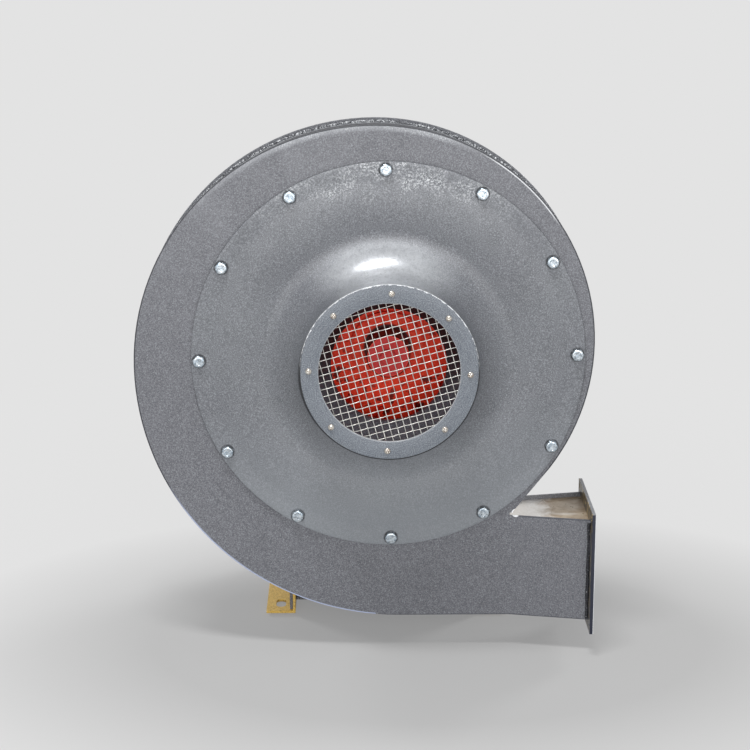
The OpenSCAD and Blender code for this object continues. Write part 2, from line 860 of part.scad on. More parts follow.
// Rotor: laminated core with an end ring at each end
module rotor_core() {
    color(bare_steel)
    turned() {
        translate([shaft_mid_r, core_y]) square([rotor_r - shaft_mid_r, core_len]);
        for (y = [core_y - end_ring_w, core_y + core_len])
            translate([rotor_r - end_ring_t, y]) square([end_ring_t, end_ring_w]);
    }
}

// Half of a bearing ring pair with the ball groove cut in
module race(y0, r_in, r_out) {
    turned()
    difference() {
        translate([r_in, y0]) square([r_out - r_in, bearing_w]);
        translate([(bearing_in_r + bearing_out_r) / 2, y0 + bearing_w / 2]) circle(ball_r + run_gap);
    }
}

module bearing_inner_rings() {
    color(bare_steel)
    for (y = [bearing_y, rear_bearing_y]) race(y, bearing_bore_r, bearing_in_r);
}

module bearing_outer_rings() {
    color(bare_steel)
    for (y = [bearing_y, rear_bearing_y]) race(y, bearing_out_r, bearing_r);
}

module bearing_balls() {
    color(zinc)
    for (y = [bearing_y, rear_bearing_y])
        around(ball_count, (bearing_in_r + bearing_out_r) / 2, 0)
            translate([0, y + bearing_w / 2, 0]) sphere(ball_r);
}

module wave_spring() {
    color(zinc)
    band(rear_bearing_y + bearing_w, spring_t, bearing_r - cut, bearing_out_r);
}

// Fan of flat radial blades on a disc, made in one piece
module cooling_fan() {
    color(rubber_black)
    difference() {
        union() {
            band(fan_y, fan_disc_t, fan_r, tail_r + run_gap);
            band(fan_y, fan_w, fan_hub_r, tail_r + run_gap);
            around(fan_blade_count, 0, 0)
                translate([fan_hub_r - cut, fan_y, -fan_blade_t / 2])
                    cube([fan_r - fan_hub_r, fan_w, fan_blade_t]);
        }
        rod(fan_y - cut, fan_w + 2 * cut, tail_r + run_gap);
    }
}

module fan_circlip() {
    color(zinc) band(fan_y + fan_w, circlip_t, tail_r + circlip_w, tail_r + run_gap);
}

// Frame: barrel with radial fins, two foot strips below, a pad for the box and a boss for the eye
module motor_frame() {
    pad_x = foot_a / 2 + foot_pad_out - foot_pad_w / 2;
    web_x = pad_x - foot_pad_w / 2 + foot_web_t / 2;
    color(housing_grey)
    difference() {
        union() {
            along_y(frame_y, frame_len) {
                circle(frame_r);
                for (i = [0:fin_count - 1])
                    let (a = 360 * (i + 0.5) / fin_count)
                        if (abs(a - 90) > fin_free_angle && abs(a - 270) > fin_free_angle)
                            rotate(a) translate([bore_r, -fin_t / 2])
                                square([frame_r + fin_h - bore_r, fin_t]);
                for (side = [-1, 1])
                    translate([side * web_x - foot_web_t / 2, -motor_h + foot_t / 2])
                        square([foot_web_t, motor_h / 2]);
            }
            for (side = [-1, 1], y = [foot_front_y, foot_front_y + foot_b])
                translate([side * pad_x - foot_pad_w / 2, y - foot_pad_len / 2, -motor_h])
                    cube([foot_pad_w, foot_pad_len, foot_t]);
            translate([0, box_y, frame_r / 2]) linear_extrude(box_base_z - frame_r / 2)
                rounded(box_w, box_d, box_r);
            translate([0, eye_y, frame_r / 2]) cylinder(h = frame_r / 2 + eye_boss_h, r = eye_boss_r);
            for (y = [frame_y, frame_end_y - lug_len])
                around(shield_bolt_count, shield_bolt_r, 45) rod(y, lug_len, lug_r);
        }
        rod(frame_y - cut, frame_len + 2 * cut, bore_r);
        for (side = [-1, 1], y = [foot_front_y, foot_front_y + foot_b])
            translate([side * foot_a / 2, y, -motor_h - cut])
                cylinder(h = foot_t + 2 * cut, d = foot_hole_d);
        translate([0, box_y, 0]) cylinder(h = box_base_z + cut, r = board_d / 2 - box_wall);
        translate([0, eye_y, frame_r + eye_boss_h - eye_stem_len - cut])
            cylinder(h = eye_stem_len + 2 * cut, r = eye_wire_r + run_gap);
        for (y = [frame_y, frame_end_y - lug_len])
            around(shield_bolt_count, shield_bolt_r, 45)
                rod(y - cut, lug_len + 2 * cut, shield_bolt_d / 2 + run_gap);
    }
}

// Ears of a shield that meet the frame's lugs, cut off inside by the frame's barrel radius
module shield_ears(y0) {
    difference() {
        around(shield_bolt_count, shield_bolt_r, 45) rod(y0, shield_wall, lug_r);
        rod(y0 - cut, shield_wall + 2 * cut, frame_r - register_t);
    }
}

module ear_holes(y0) {
    around(shield_bolt_count, shield_bolt_r, 45)
        rod(y0 - cut, shield_wall + 2 * cut, shield_bolt_d / 2 + slip);
}

// Drive-end shield with the fan's mounting flange, its spigot and the bearing seat
module drive_end_shield() {
    y1 = motor_y + motor_flange_t;
    color(housing_grey)
    difference() {
        union() {
            turned()
                polygon([[shaft_hole_r, motor_y - spigot_h], [spigot_r, motor_y - spigot_h],
                    [spigot_r, motor_y], [motor_flange_r, motor_y], [motor_flange_r, y1],
                    [frame_r + register_t, y1], [frame_r, y1 + shield_wall], [frame_r, frame_y],
                    [bore_r - slip, frame_y], [bore_r - slip, frame_y + register_len],
                    [bore_r - register_t, frame_y + register_len], [bore_r - register_t, y1],
                    [bearing_r + shield_wall, y1], [bearing_r + shield_wall, bearing_y + bearing_w],
                    [bearing_r + run_gap, bearing_y + bearing_w], [bearing_r + run_gap, bearing_y],
                    [shaft_hole_r + cut, bearing_y], [shaft_hole_r, motor_y]]);
            shield_ears(frame_y - shield_wall);
        }
        around(flange_bolt_count, flange_bolt_r, 45)
            rod(motor_y - cut, motor_flange_t + 2 * cut, flange_bolt_d / 2 + slip);
        ear_holes(frame_y - shield_wall);
    }
}

// Rear shield: flat wall with the bearing seat, a register in the frame and a rim for the cowl
module rear_end_shield() {
    y1 = frame_end_y + rear_wall_t;
    boss_y = y1 + spring_t + shield_wall / 2;
    color(housing_grey)
    difference() {
        union() {
            turned()
                polygon([[tail_r + cut, boss_y], [bearing_r + shield_wall, boss_y],
                    [bearing_r + shield_wall, y1], [frame_r - shield_wall, y1],
                    [frame_r - shield_wall, y1 + rim_len], [frame_r, y1 + rim_len],
                    [frame_r, frame_end_y], [bore_r - slip, frame_end_y],
                    [bore_r - slip, frame_end_y - register_len],
                    [bore_r - register_t, frame_end_y - register_len],
                    [bore_r - register_t, frame_end_y], [bearing_r + shield_wall, frame_end_y],
                    [bearing_r + shield_wall, rear_bearing_y], [bearing_r + run_gap, rear_bearing_y],
                    [bearing_r + run_gap, y1 + spring_t], [tail_r + cut, y1 + spring_t]]);
            shield_ears(frame_end_y);
        }
        ear_holes(frame_end_y);
        cowl_places() cylinder(h = shield_wall + 2 * cut, d = cowl_screw_d + 2 * run_gap, center = true);
    }
}

// Places of the cowl's screws on the middle of the rear shield's rim, +Z outwards
module cowl_places() {
    y = (cowl_y + frame_end_y + rear_wall_t + rim_len) / 2;
    for (i = [0:cowl_screw_count - 1])
        rotate([0, 360 * i / cowl_screw_count, 0]) translate([0, y, frame_r - shield_wall / 2]) children();
}

// Bolts through the ears of both shields into the frame's lugs
module shield_bolts() {
    color(zinc) {
        around(shield_bolt_count, shield_bolt_r, 45)
            translate([0, frame_end_y + shield_wall, 0]) rotate([90, 0, 0])
                hex_bolt(shield_bolt_d, shield_wall + lug_len - cut);
        around(shield_bolt_count, shield_bolt_r, 45)
            translate([0, frame_y - shield_wall, 0]) rotate([-90, 0, 0])
                hex_bolt(shield_bolt_d, shield_wall + lug_len - cut);
    }
}

module stator_core() {
    color(bare_steel) band(core_y, core_len, stator_out_r, stator_in_r);
}

// End windings: a rounded hoop of wire at each end of the core
module stator_windings() {
    color(copper)
    for (y = [core_y - winding_len, core_y + core_len])
        turned() translate([(winding_in_r + winding_out_r) / 2, y + winding_len / 2])
            rounded(winding_out_r - winding_in_r, winding_len, winding_turn_r);
}

// Cowl: a cup over the fan with radial slots in its end
module fan_cowl() {
    color(housing_grey)
    difference() {
        turned() {
            translate([cowl_r, cowl_y]) square([cowl_t, cowl_end_y - cowl_y]);
            translate([0, cowl_end_y - cowl_t]) square([cowl_r + cowl_t / 2, cowl_t]);
        }
        along_y(cowl_end_y - 2 * cowl_t, 4 * cowl_t)
            for (i = [0:cowl_slots - 1])
                rotate(360 * i / cowl_slots)
                    translate([cowl_r * cowl_slot_in_share, -cowl_slot_w / 2])
                        square([cowl_r * (cowl_slot_out_share - cowl_slot_in_share), cowl_slot_w]);
        cowl_places() cylinder(h = shield_wall + 2 * cowl_t, d = cowl_screw_d + 2 * slip);
    }
}

module cowl_screws() {
    color(zinc)
    cowl_places() translate([0, 0, shield_wall / 2 + slip + cowl_t])
        rotate([180, 0, 0]) pan_screw(cowl_screw_d, shield_wall);
}

module terminal_box() {
    color(housing_grey)
    difference() {
        translate([0, box_y, box_base_z]) linear_extrude(box_h) rounded(box_w, box_d, box_r);
        translate([0, box_y, box_base_z + box_wall]) linear_extrude(box_h)
            difference() {
                rounded(box_w - 2 * box_wall, box_d - 2 * box_wall, box_r - box_wall);
                for (x = [-1, 1], y = [-1, 1])
                    translate([x * (box_w / 2 - lid_boss_in), y * (box_d / 2 - lid_boss_in)])
                        circle(lid_boss_r);
            }
        for (x = [-1, 1], y = [-1, 1])
            translate([x * (box_w / 2 - lid_boss_in), box_y + y * (box_d / 2 - lid_boss_in),
                box_base_z + box_h / 2]) cylinder(h = box_h, d = lid_screw_d + 2 * run_gap);
        translate([0, box_y, box_base_z - cut])
            cylinder(h = box_wall + 2 * cut, r = board_d / 2 - box_wall);
        translate([box_w / 2 - 2 * box_wall, box_y, box_base_z + box_h / 2]) rotate([0, 90, 0])
            cylinder(h = 4 * box_wall, d = gland_d + 2 * slip);
    }
}

module lid_outline(r) {
    difference() {
        rounded(box_w, box_d, box_r);
        for (x = [-1, 1], y = [-1, 1])
            translate([x * (box_w / 2 - lid_boss_in), y * (box_d / 2 - lid_boss_in)]) circle(r);
    }
}

module box_gasket() {
    color(rubber_black)
    translate([0, box_y, box_base_z + box_h]) linear_extrude(box_gasket_t)
    difference() {
        lid_outline(lid_screw_d / 2 + slip);
        rounded(box_w - 4 * lid_boss_in, box_d - 2 * box_wall, box_r - box_wall);
        rounded(box_w - 2 * box_wall, box_d - 4 * lid_boss_in, box_r - box_wall);
    }
}

module terminal_lid() {
    color(housing_grey)
    translate([0, box_y, box_base_z + box_h + box_gasket_t]) linear_extrude(lid_t)
        lid_outline(lid_screw_d / 2 + slip);
}

module lid_screws() {
    top = box_base_z + box_h + box_gasket_t + lid_t;
    color(zinc)
    for (x = [-1, 1], y = [-1, 1])
        translate([x * (box_w / 2 - lid_boss_in), box_y + y * (box_d / 2 - lid_boss_in), top])
            rotate([180, 0, 0]) pan_screw(lid_screw_d, lid_t + box_gasket_t + box_h / 3);
}

// Terminal board on the box's floor with two rows of three studs
module terminal_board() {
    color(rubber_black)
    translate([0, box_y, box_base_z + box_wall]) {
        linear_extrude(board_t) square([board_w, board_d], center = true);
        for (x = [-1, 0, 1], y = [-1, 1])
            translate([x * board_w / 3, y * board_d / 4, board_t / 2])
                cylinder(h = board_t / 2 + stud_len, r = stud_r);
    }
}

// Gland in the box's right wall: body, flange nut and domed cap, its bore open for a cable
module cable_gland() {
    across = gland_d * gland_nut_share;
    color(rubber_black)
    translate([box_w / 2, box_y, box_base_z + box_h / 2]) rotate([0, 90, 0])
    difference() {
        union() {
            translate([0, 0, -2 * box_wall]) cylinder(h = gland_len + 2 * box_wall, d = gland_d);
            cylinder(h = box_wall * 2, d = across, $fn = 6);
            translate([0, 0, 2 * box_wall]) cylinder(h = gland_cap_len, d1 = across * cos(30), d2 = gland_d);
        }
        translate([0, 0, -3 * box_wall]) cylinder(h = 2 * gland_len + 3 * box_wall, d = gland_d / 2);
    }
}

module lifting_eye() {
    base = frame_r + eye_boss_h;
    color(zinc)
    translate([0, eye_y, 0]) {
        translate([0, 0, base - eye_stem_len])
            cylinder(h = eye_stem_len + eye_collar_h / 2, r = eye_wire_r);
        translate([0, 0, base]) cylinder(h = eye_collar_h, r = eye_collar_r);
        translate([0, 0, base + eye_collar_h + eye_ring_r]) rotate([90, 0, 90])
            rotate_extrude() translate([eye_ring_r, 0]) circle(eye_wire_r);
    }
}

module stand_motor_plate() {
    color(housing_grey)
    difference() {
        translate([-cheek_x, cheek_y, plate_z]) cube([stand_w, cheek_len, motor_plate_t]);
        for (side = [-1, 1]) {
            for (y = [foot_front_y, foot_front_y + foot_b])
                translate([side * foot_a / 2, y, plate_z - cut])
                    cylinder(h = motor_plate_t + 2 * cut, d = foot_hole_d);
            for (y = plate_bolt_ys)
                translate([side * plate_bolt_x, y, plate_z - cut])
                    cylinder(h = motor_plate_t + 2 * cut, d = stand_bolt_d + 2 * bolt_clear);
        }
    }
}

// Cheek: one sheet folded in at the top under the motor plate
module cheek(side) {
    color(housing_grey)
    difference() {
        along_y(cheek_y, cheek_len)
            scale([side, 1])
            polygon([[cheek_x, cheek_z], [cheek_x, plate_z], [cheek_x - cheek_lip, plate_z],
                [cheek_x - cheek_lip, plate_z - stand_t], [cheek_x - stand_t, plate_z - stand_t],
                [cheek_x - stand_t, cheek_z]]);
        for (y = plate_bolt_ys)
            translate([side * plate_bolt_x, y, plate_z - stand_t - cut])
                cylinder(h = stand_t + 2 * cut, d = stand_bolt_d + 2 * bolt_clear);
        for (y = rail_bolt_ys)
            translate([side * (cheek_x - stand_t / 2), y, rail_bolt_z]) rotate([0, 90, 0])
                cylinder(h = 2 * stand_t, d = stand_bolt_d + 2 * bolt_clear, center = true);
    }
}

module stand_left_cheek() {
    cheek(-1);
}

module stand_right_cheek() {
    cheek(1);
}

// Panel between the cheeks, narrower between the rails, with a lip folded outwards at the bottom
module panel(y0, side) {
    half = cheek_x - stand_t - panel_gap;
    half_low = half - rail_t;
    z0 = floor_z + panel_rise;
    z_step = floor_z + rail_leg_h + panel_gap;
    color(housing_grey) {
        along_y(y0, rail_t)
            polygon([[-half_low, z0], [half_low, z0], [half_low, z_step], [half, z_step],
                [half, plate_z - panel_drop], [-half, plate_z - panel_drop], [-half, z_step],
                [-half_low, z_step]]);
        translate([-half_low, side > 0 ? y0 + rail_t / 2 : y0 + rail_t / 2 - panel_lip, z0])
            cube([2 * half_low, panel_lip, rail_t]);
    }
}

module stand_front_panel() {
    panel(rail_y + panel_in, -1);
}

module stand_rear_panel() {
    panel(rail_y + rail_len - panel_in, 1);
}

// Foot rail: an angle whose slotted leg lies on the floor and whose upright stands inside the cheek
module foot_rail(side) {
    inner_x = cheek_x - stand_t - rail_t;
    color(yellow_zinc)
    difference() {
        along_y(rail_y, rail_len)
            scale([side, 1])
            polygon([[inner_x, floor_z], [cheek_x + rail_out, floor_z],
                [cheek_x + rail_out, floor_z + rail_t], [inner_x + rail_t, floor_z + rail_t],
                [inner_x + rail_t, floor_z + rail_leg_h], [inner_x, floor_z + rail_leg_h]]);
        for (y = [rail_y + slot_front, rail_y + rail_len - slot_front])
            translate([side * (cheek_x + rail_out / 2 - slot_in), y, floor_z - cut])
                linear_extrude(rail_t + 2 * cut) {
                    square([slot_w, slot_len - slot_w], center = true);
                    for (end = [-1, 1]) translate([0, end * (slot_len - slot_w) / 2]) circle(d = slot_w);
                }
        for (y = rail_bolt_ys)
            translate([side * (inner_x + rail_t / 2), y, rail_bolt_z]) rotate([0, 90, 0])
                cylinder(h = 2 * rail_t, d = stand_bolt_d + 2 * bolt_clear, center = true);
    }
}

module left_foot_rail() {
    foot_rail(-1);
}

module right_foot_rail() {
    foot_rail(1);
}

module stand_bolts() {
    color(zinc)
    for (side = [-1, 1]) {
        for (y = plate_bolt_ys)
            translate([side * plate_bolt_x, y, -motor_h]) rotate([180, 0, 0])
                hex_bolt(stand_bolt_d, motor_plate_t + stand_t + stand_bolt_d);
        for (y = rail_bolt_ys)
            translate([side * cheek_x, y, rail_bolt_z]) rotate([0, -side * 90, 0])
                hex_bolt(stand_bolt_d, stand_t + rail_t + stand_bolt_d);
    }
}

module stand_nuts() {
    color(zinc)
    for (side = [-1, 1]) {
        for (y = plate_bolt_ys)
            translate([side * plate_bolt_x, y, plate_z - stand_t]) rotate([180, 0, 0])
                hex_nut(stand_bolt_d);
        for (y = rail_bolt_ys)
            translate([side * (cheek_x - stand_t - rail_t), y, rail_bolt_z]) rotate([0, -side * 90, 0])
                hex_nut(stand_bolt_d);
    }
}

module motor_foot_bolts() {
    color(zinc)
    for (side = [-1, 1], y = [foot_front_y, foot_front_y + foot_b])
        translate([side * foot_a / 2, y, foot_t - motor_h]) rotate([180, 0, 0])
            hex_bolt(foot_bolt_d, foot_t + motor_plate_t + foot_bolt_d);
}

module motor_foot_nuts() {
    color(zinc)
    for (side = [-1, 1], y = [foot_front_y, foot_front_y + foot_b])
        translate([side * foot_a / 2, y, plate_z]) rotate([180, 0, 0]) hex_nut(foot_bolt_d);
}

front_side_plate();
rear_side_plate();
scroll_wrapper();
outlet_flange();
intake_cover();
cover_gasket();
cover_bolts();
cover_weld_nuts();
intake_ring();
intake_mesh();
intake_cone();
ring_screws();
ring_nuts();
motor_mount_ring();
shaft_seal();
seal_plate();
flange_bolts();
wheel_back_disc();
wheel_shroud();
wheel_blades();
wheel_hub();
hub_rivets();
hub_cap();
hub_cap_bolt();
shaft_key();
motor_shaft();
rotor_core();
bearing_inner_rings();
bearing_balls();
bearing_outer_rings();
wave_spring();
cooling_fan();
fan_circlip();
motor_frame();
drive_end_shield();
rear_end_shield();
shield_bolts();
stator_core();
stator_windings();
fan_cowl();
cowl_screws();
terminal_box();
box_gasket();
terminal_lid();
lid_screws();
terminal_board();
cable_gland();
lifting_eye();
stand_motor_plate();
stand_left_cheek();
stand_right_cheek();
stand_front_panel();
stand_rear_panel();
left_foot_rail();
right_foot_rail();
stand_bolts();
stand_nuts();
motor_foot_bolts();
motor_foot_nuts();
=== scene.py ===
import json
import math
import bmesh
import bpy
import numpy as np
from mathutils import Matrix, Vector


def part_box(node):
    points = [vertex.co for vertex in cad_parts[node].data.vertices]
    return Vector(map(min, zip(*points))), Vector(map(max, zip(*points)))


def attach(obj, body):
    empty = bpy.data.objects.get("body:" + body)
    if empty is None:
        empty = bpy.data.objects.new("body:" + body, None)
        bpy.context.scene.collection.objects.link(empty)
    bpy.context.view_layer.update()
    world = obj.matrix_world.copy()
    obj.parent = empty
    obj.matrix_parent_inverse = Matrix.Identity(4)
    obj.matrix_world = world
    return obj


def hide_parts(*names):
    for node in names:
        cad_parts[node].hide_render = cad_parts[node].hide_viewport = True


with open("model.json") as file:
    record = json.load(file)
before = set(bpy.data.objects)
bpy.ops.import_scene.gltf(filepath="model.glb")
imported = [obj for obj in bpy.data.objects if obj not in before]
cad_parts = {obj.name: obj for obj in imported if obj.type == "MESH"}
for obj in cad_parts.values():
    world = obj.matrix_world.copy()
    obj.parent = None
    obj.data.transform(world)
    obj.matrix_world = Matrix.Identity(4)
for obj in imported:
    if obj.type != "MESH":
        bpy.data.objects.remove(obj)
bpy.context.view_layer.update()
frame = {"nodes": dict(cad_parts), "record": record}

nodes = frame["nodes"]
mm = 0.001


def toLinear(hexCode):
    # sRGB hex to linear light: v / 12.92 below 0.04045, else ((v + 0.055) / 1.055) to the power 2.4
    v = np.array([int(hexCode[i:i + 2], 16) for i in (1, 3, 5)]) / 255.0
    lin = np.where(v <= 0.04045, v / 12.92, ((v + 0.055) / 1.055) ** 2.4)
    return (float(lin[0]), float(lin[1]), float(lin[2]), 1.0)


def addNode(tree, kind, inputs=None, **settings):
    # one node with its settings; an input that is a socket is linked, anything else is set
    node = tree.nodes.new(kind)
    for key, value in settings.items():
        setattr(node, key, value)
    for key, value in (inputs or {}).items():
        if isinstance(value, bpy.types.NodeSocket):
            tree.links.new(value, node.inputs[key])
        else:
            node.inputs[key].default_value = value
    return node


def startMaterial(name):
    # empty node tree with the piece's own coordinates in metres
    made = bpy.data.materials.new(name)
    made.use_nodes = True
    tree = made.node_tree
    tree.nodes.clear()
    place = addNode(tree, "ShaderNodeTexCoord").outputs["Object"]
    return made, tree, place


def noise(tree, place, sizeMm, detail=2.0, rough=0.5, distortion=0.0):
    # noise whose patches are about sizeMm across
    return addNode(tree, "ShaderNodeTexNoise", {
        "Vector": place, "Scale": 1.0 / (sizeMm * mm), "Detail": detail, "Roughness": rough,
        "Distortion": distortion}).outputs["Fac"]


def spread(tree, value, low, high, toLow=0.0, toHigh=1.0):
    # value between low and high, moved to between toLow and toHigh and kept inside them
    return addNode(tree, "ShaderNodeMapRange", {
        "Value": value, "From Min": low, "From Max": high, "To Min": toLow, "To Max": toHigh}).outputs["Result"]


def band(tree, value, limits, toLow=0.0, toHigh=1.0):
    # spread between a pair of limits
    return spread(tree, value, limits[0], limits[1], toLow, toHigh)


def sums(tree, operation, a, b=0.0, c=0.0):
    return addNode(tree, "ShaderNodeMath", {0: a, 1: b, 2: c}, operation=operation).outputs[0]


def blendColour(tree, amount, low, high):
    return addNode(tree, "ShaderNodeMix", {0: amount, 6: low, 7: high}, data_type="RGBA").outputs[2]


def tint(tree, amount, colour, hexCode):
    return blendColour(tree, amount, colour, toLinear(hexCode))


def twoTone(tree, amount, lowHex, highHex):
    return blendColour(tree, amount, toLinear(lowHex), toLinear(highHex))


def length(tree, a, b):
    # square root of a squared plus b squared
    squares = sums(tree, "ADD", sums(tree, "POWER", a, 2.0), sums(tree, "POWER", b, 2.0))
    return sums(tree, "SQRT", squares)


def product(tree, first, *factors):
    # first times each of the factors
    for factor in factors:
        first = sums(tree, "MULTIPLY", first, factor)
    return first


def separate(tree, place):
    return addNode(tree, "ShaderNodeSeparateXYZ", {0: place}).outputs


def awayFrom(tree, place, point):
    # distance from a point given in metres
    return addNode(tree, "ShaderNodeVectorMath", {0: place, 1: point}, operation="DISTANCE").outputs["Value"]


def flattened(tree, place):
    # place without its Y, so that a distance is measured as it is seen along the shaft
    return addNode(tree, "ShaderNodeVectorMath", {0: place, 1: (1.0, 0.0, 1.0)}, operation="MULTIPLY").outputs[0]


def finishMaterial(tree, colour, roughness, height=None, bumpMm=0.0, metal=0.0, **shaderValues):
    # principled shader with its relief in millimetres
    inputs = {"Base Color": colour, "Roughness": roughness, "Metallic": metal}
    if height is not None:
        inputs["Normal"] = addNode(tree, "ShaderNodeBump", {
            "Height": height, "Distance": bumpMm * mm, "Strength": 1.0}).outputs["Normal"]
    shader = addNode(tree, "ShaderNodeBsdfPrincipled", inputs)
    for key, value in shaderValues.items():
        shader.inputs[key].default_value = value
    addNode(tree, "ShaderNodeOutputMaterial", {"Surface": shader.outputs[0]})


def addObject(name, data):
    made = bpy.data.objects.new(name, data)
    bpy.context.scene.collection.objects.link(made)
    return made


def putMesh(name, verts, faces, material, body, smoothAngle=35.0):
    # mesh from whole arrays: verts is n by 3 in metres, faces is a list of index arrays of 3 or 4 columns
    loops = np.concatenate([f.reshape(-1) for f in faces]).astype(np.int32)
    sizes = np.concatenate([np.full(len(f), f.shape[1]) for f in faces]).astype(np.int32)
    starts = np.concatenate([[0], np.cumsum(sizes)[:-1]]).astype(np.int32)
    mesh = bpy.data.meshes.new(name)
    mesh.vertices.add(len(verts))
    mesh.vertices.foreach_set("co", np.asarray(verts, dtype=np.float32).reshape(-1))
    mesh.loops.add(len(loops))
    mesh.loops.foreach_set("vertex_index", loops)
    mesh.polygons.add(len(sizes))
    mesh.polygons.foreach_set("loop_start", starts)
    mesh.polygons.foreach_set("use_smooth", np.ones(len(sizes), dtype=bool))
    mesh.update(calc_edges=True)
    mesh.validate()
    mesh.set_sharp_from_angle(angle=math.radians(smoothAngle))
    mesh.materials.append(material)
    piece = addObject(name, mesh)
    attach(piece, body)
    return piece


def gridFaces(rows, columns, closeRows=False, closeColumns=False, start=0):
    # quads of a grid of rows by columns whose corners are counted row by row
    r = np.arange(rows if closeRows else rows - 1)
    c = np.arange(columns if closeColumns else columns - 1)
    rr, cc = np.meshgrid(r, c, indexing="ij")
    r2, c2 = (rr + 1) % rows, (cc + 1) % columns
    quad = np.stack([rr * columns + cc, r2 * columns + cc, r2 * columns + c2, rr * columns + c2], axis=-1)
    return quad.reshape(-1, 4) + start


def turned(profile, count, wobble=None):
    # profile of (radius, place along Y) turned about the shaft: x = r cos a, z = r sin a
    a = np.arange(count) * 2 * np.pi / count
    r, y = np.array(profile, dtype=float).T
    rr, aa = np.meshgrid(r, a, indexing="ij")
    yy = np.repeat(y[:, None], count, axis=1)
    if wobble is not None:
        yy = yy + wobble(rr, aa)
    return np.stack([rr * np.cos(aa), yy, rr * np.sin(aa)], axis=-1)


def tube(path, radius, sides, side1, side2):
    # ring of points about each path point: p + radius (cos b side1 + sin b side2)
    b = np.arange(sides) * 2 * np.pi / sides
    radius = np.broadcast_to(np.asarray(radius, dtype=float), (len(path),))
    ring = (np.cos(b)[None, :, None] * side1[:, None, :] + np.sin(b)[None, :, None] * side2[:, None, :])
    return path[:, None, :] + radius[:, None, None] * ring


def arcPoints(centre, radius, start, end, count):
    # points of an arc in a plane: centre + radius (cos a, sin a)
    a = np.radians(np.linspace(start, end, count))
    return np.stack([centre[0] + radius * np.cos(a), centre[1] + radius * np.sin(a)], axis=1)


def easedCopy(nodeName, pieceName, ease, material, body="casing", cleanAngle=0.8):
    # the CAD shape with its flat triangles joined and a small round on every sharp edge
    mesh = nodes[nodeName].data.copy()
    shape = bmesh.new()
    shape.from_mesh(mesh)
    bmesh.ops.remove_doubles(shape, verts=shape.verts, dist=2e-6)
    flatter = math.radians(cleanAngle)
    bmesh.ops.dissolve_limit(shape, angle_limit=flatter, verts=shape.verts, edges=shape.edges)
    shape.to_mesh(mesh)
    shape.free()
    if "custom_normal" in mesh.attributes:
        mesh.attributes.remove(mesh.attributes["custom_normal"])
    mesh.polygons.foreach_set("use_smooth", np.ones(len(mesh.polygons), dtype=bool))
    mesh.materials.clear()
    mesh.materials.append(material)
    piece = addObject(pieceName, mesh)
    rounding = piece.modifiers.new("easedEdges", "BEVEL")
    rounding.width = ease * mm
    rounding.segments = 2
    rounding.limit_method = "ANGLE"
    rounding.angle_limit = math.radians(40)
    rounding.harden_normals = True
    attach(piece, body)
    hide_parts(nodeName)
    return piece


# camera solved from the photograph's bolts, screws and outlet, in the model's frame
view = {"focalPx": 1939.3, "framePx": 750, "place": (-39.5, -2067.4, 529.8),
        "yaw": -0.65, "pitch": 14.42, "roll": 0.07}


def makeCamera():
    # columns right, forward and up of yaw about Z, then pitch down about X, then roll about Y
    yaw, pitch, roll = (math.radians(view[k]) for k in ("yaw", "pitch", "roll"))
    cy, sy, cp, sp, cr, sr = (f(k) for k in (yaw, pitch, roll) for f in (math.cos, math.sin))
    aboutZ = np.array([[cy, -sy, 0], [sy, cy, 0], [0, 0, 1]])
    aboutX = np.array([[1, 0, 0], [0, cp, sp], [0, -sp, cp]])
    aboutY = np.array([[cr, 0, sr], [0, 1, 0], [-sr, 0, cr]])
    right, forward, up = (aboutZ @ aboutX @ aboutY).T
    matrix = np.eye(4)
    matrix[:3, 0], matrix[:3, 1], matrix[:3, 2] = right, up, -forward
    matrix[:3, 3] = np.array(view["place"]) * mm
    data = bpy.data.cameras.new("photoCamera")
    data.sensor_width = 36.0
    data.lens = view["focalPx"] * data.sensor_width / view["framePx"]
    data.clip_start, data.clip_end = 0.05, 200.0
    camera = addObject("photoCamera", data)
    camera.matrix_world = matrix.T.tolist()
    bpy.context.scene.camera = camera


makeCamera()
bpy.context.scene.view_settings.view_transform = "Standard"
print("camera placed")


# scroll sizes of the blower in millimetres, as the CAD model has them
volute = {"scrollR": 249.7, "scrollOff": 14.7, "step": 25.3, "lastStep": 27.2, "airFrontY": 77.6,
          "airBackY": 141.6}


def scrollArcs(inset=0.0):
    # centre (x, z) and radius of each of the scroll's three arcs, drawn in by inset
    a = np.array([-volute["scrollOff"], volute["scrollOff"]])
    b = a - [0, volute["step"]]
    c = b + [volute["lastStep"], 0]
    r = volute["scrollR"] - inset
    return (a, r), (b, r + volute["step"]), (c, r + volute["step"] + volute["lastStep"])


def scrollPath(inset, start=-38.5, count=260):
    # the scroll from the notch over the top and round to the bottom
    first, second, third = scrollArcs(inset)
    parts = [arcPoints(*first, start, 90, count), arcPoints(*second, 90, 180, count)[1:],
             arcPoints(*third, 180, 270, count)[1:]]
    return np.concatenate(parts)


def radiusFromShaft(tree, place):
    # distance from the Y axis
    parts = separate(tree, place)
    return length(tree, parts[0], parts[2]), parts


def inFromEdge(tree, place, parts):
    # distance in from the scroll's outline: each arc's radius less the distance from its centre, by x and z
    flat = flattened(tree, place)
    reach = []
    for centre, r in scrollArcs():
        away = awayFrom(tree, flat, (centre[0] * mm, 0.0, centre[1] * mm))
        reach.append(sums(tree, "SUBTRACT", r * mm, away))
    cornerX, cornerZ = scrollArcs()[1][0] * mm
    left = sums(tree, "LESS_THAN", parts[0], cornerX)
    low = sums(tree, "LESS_THAN", parts[2], cornerZ)
    leftOne = addNode(tree, "ShaderNodeMix", {0: low, 2: reach[1], 3: reach[2]}, data_type="FLOAT").outputs[0]
    return addNode(tree, "ShaderNodeMix", {0: left, 2: reach[0], 3: leftOne}, data_type="FLOAT").outputs[0]


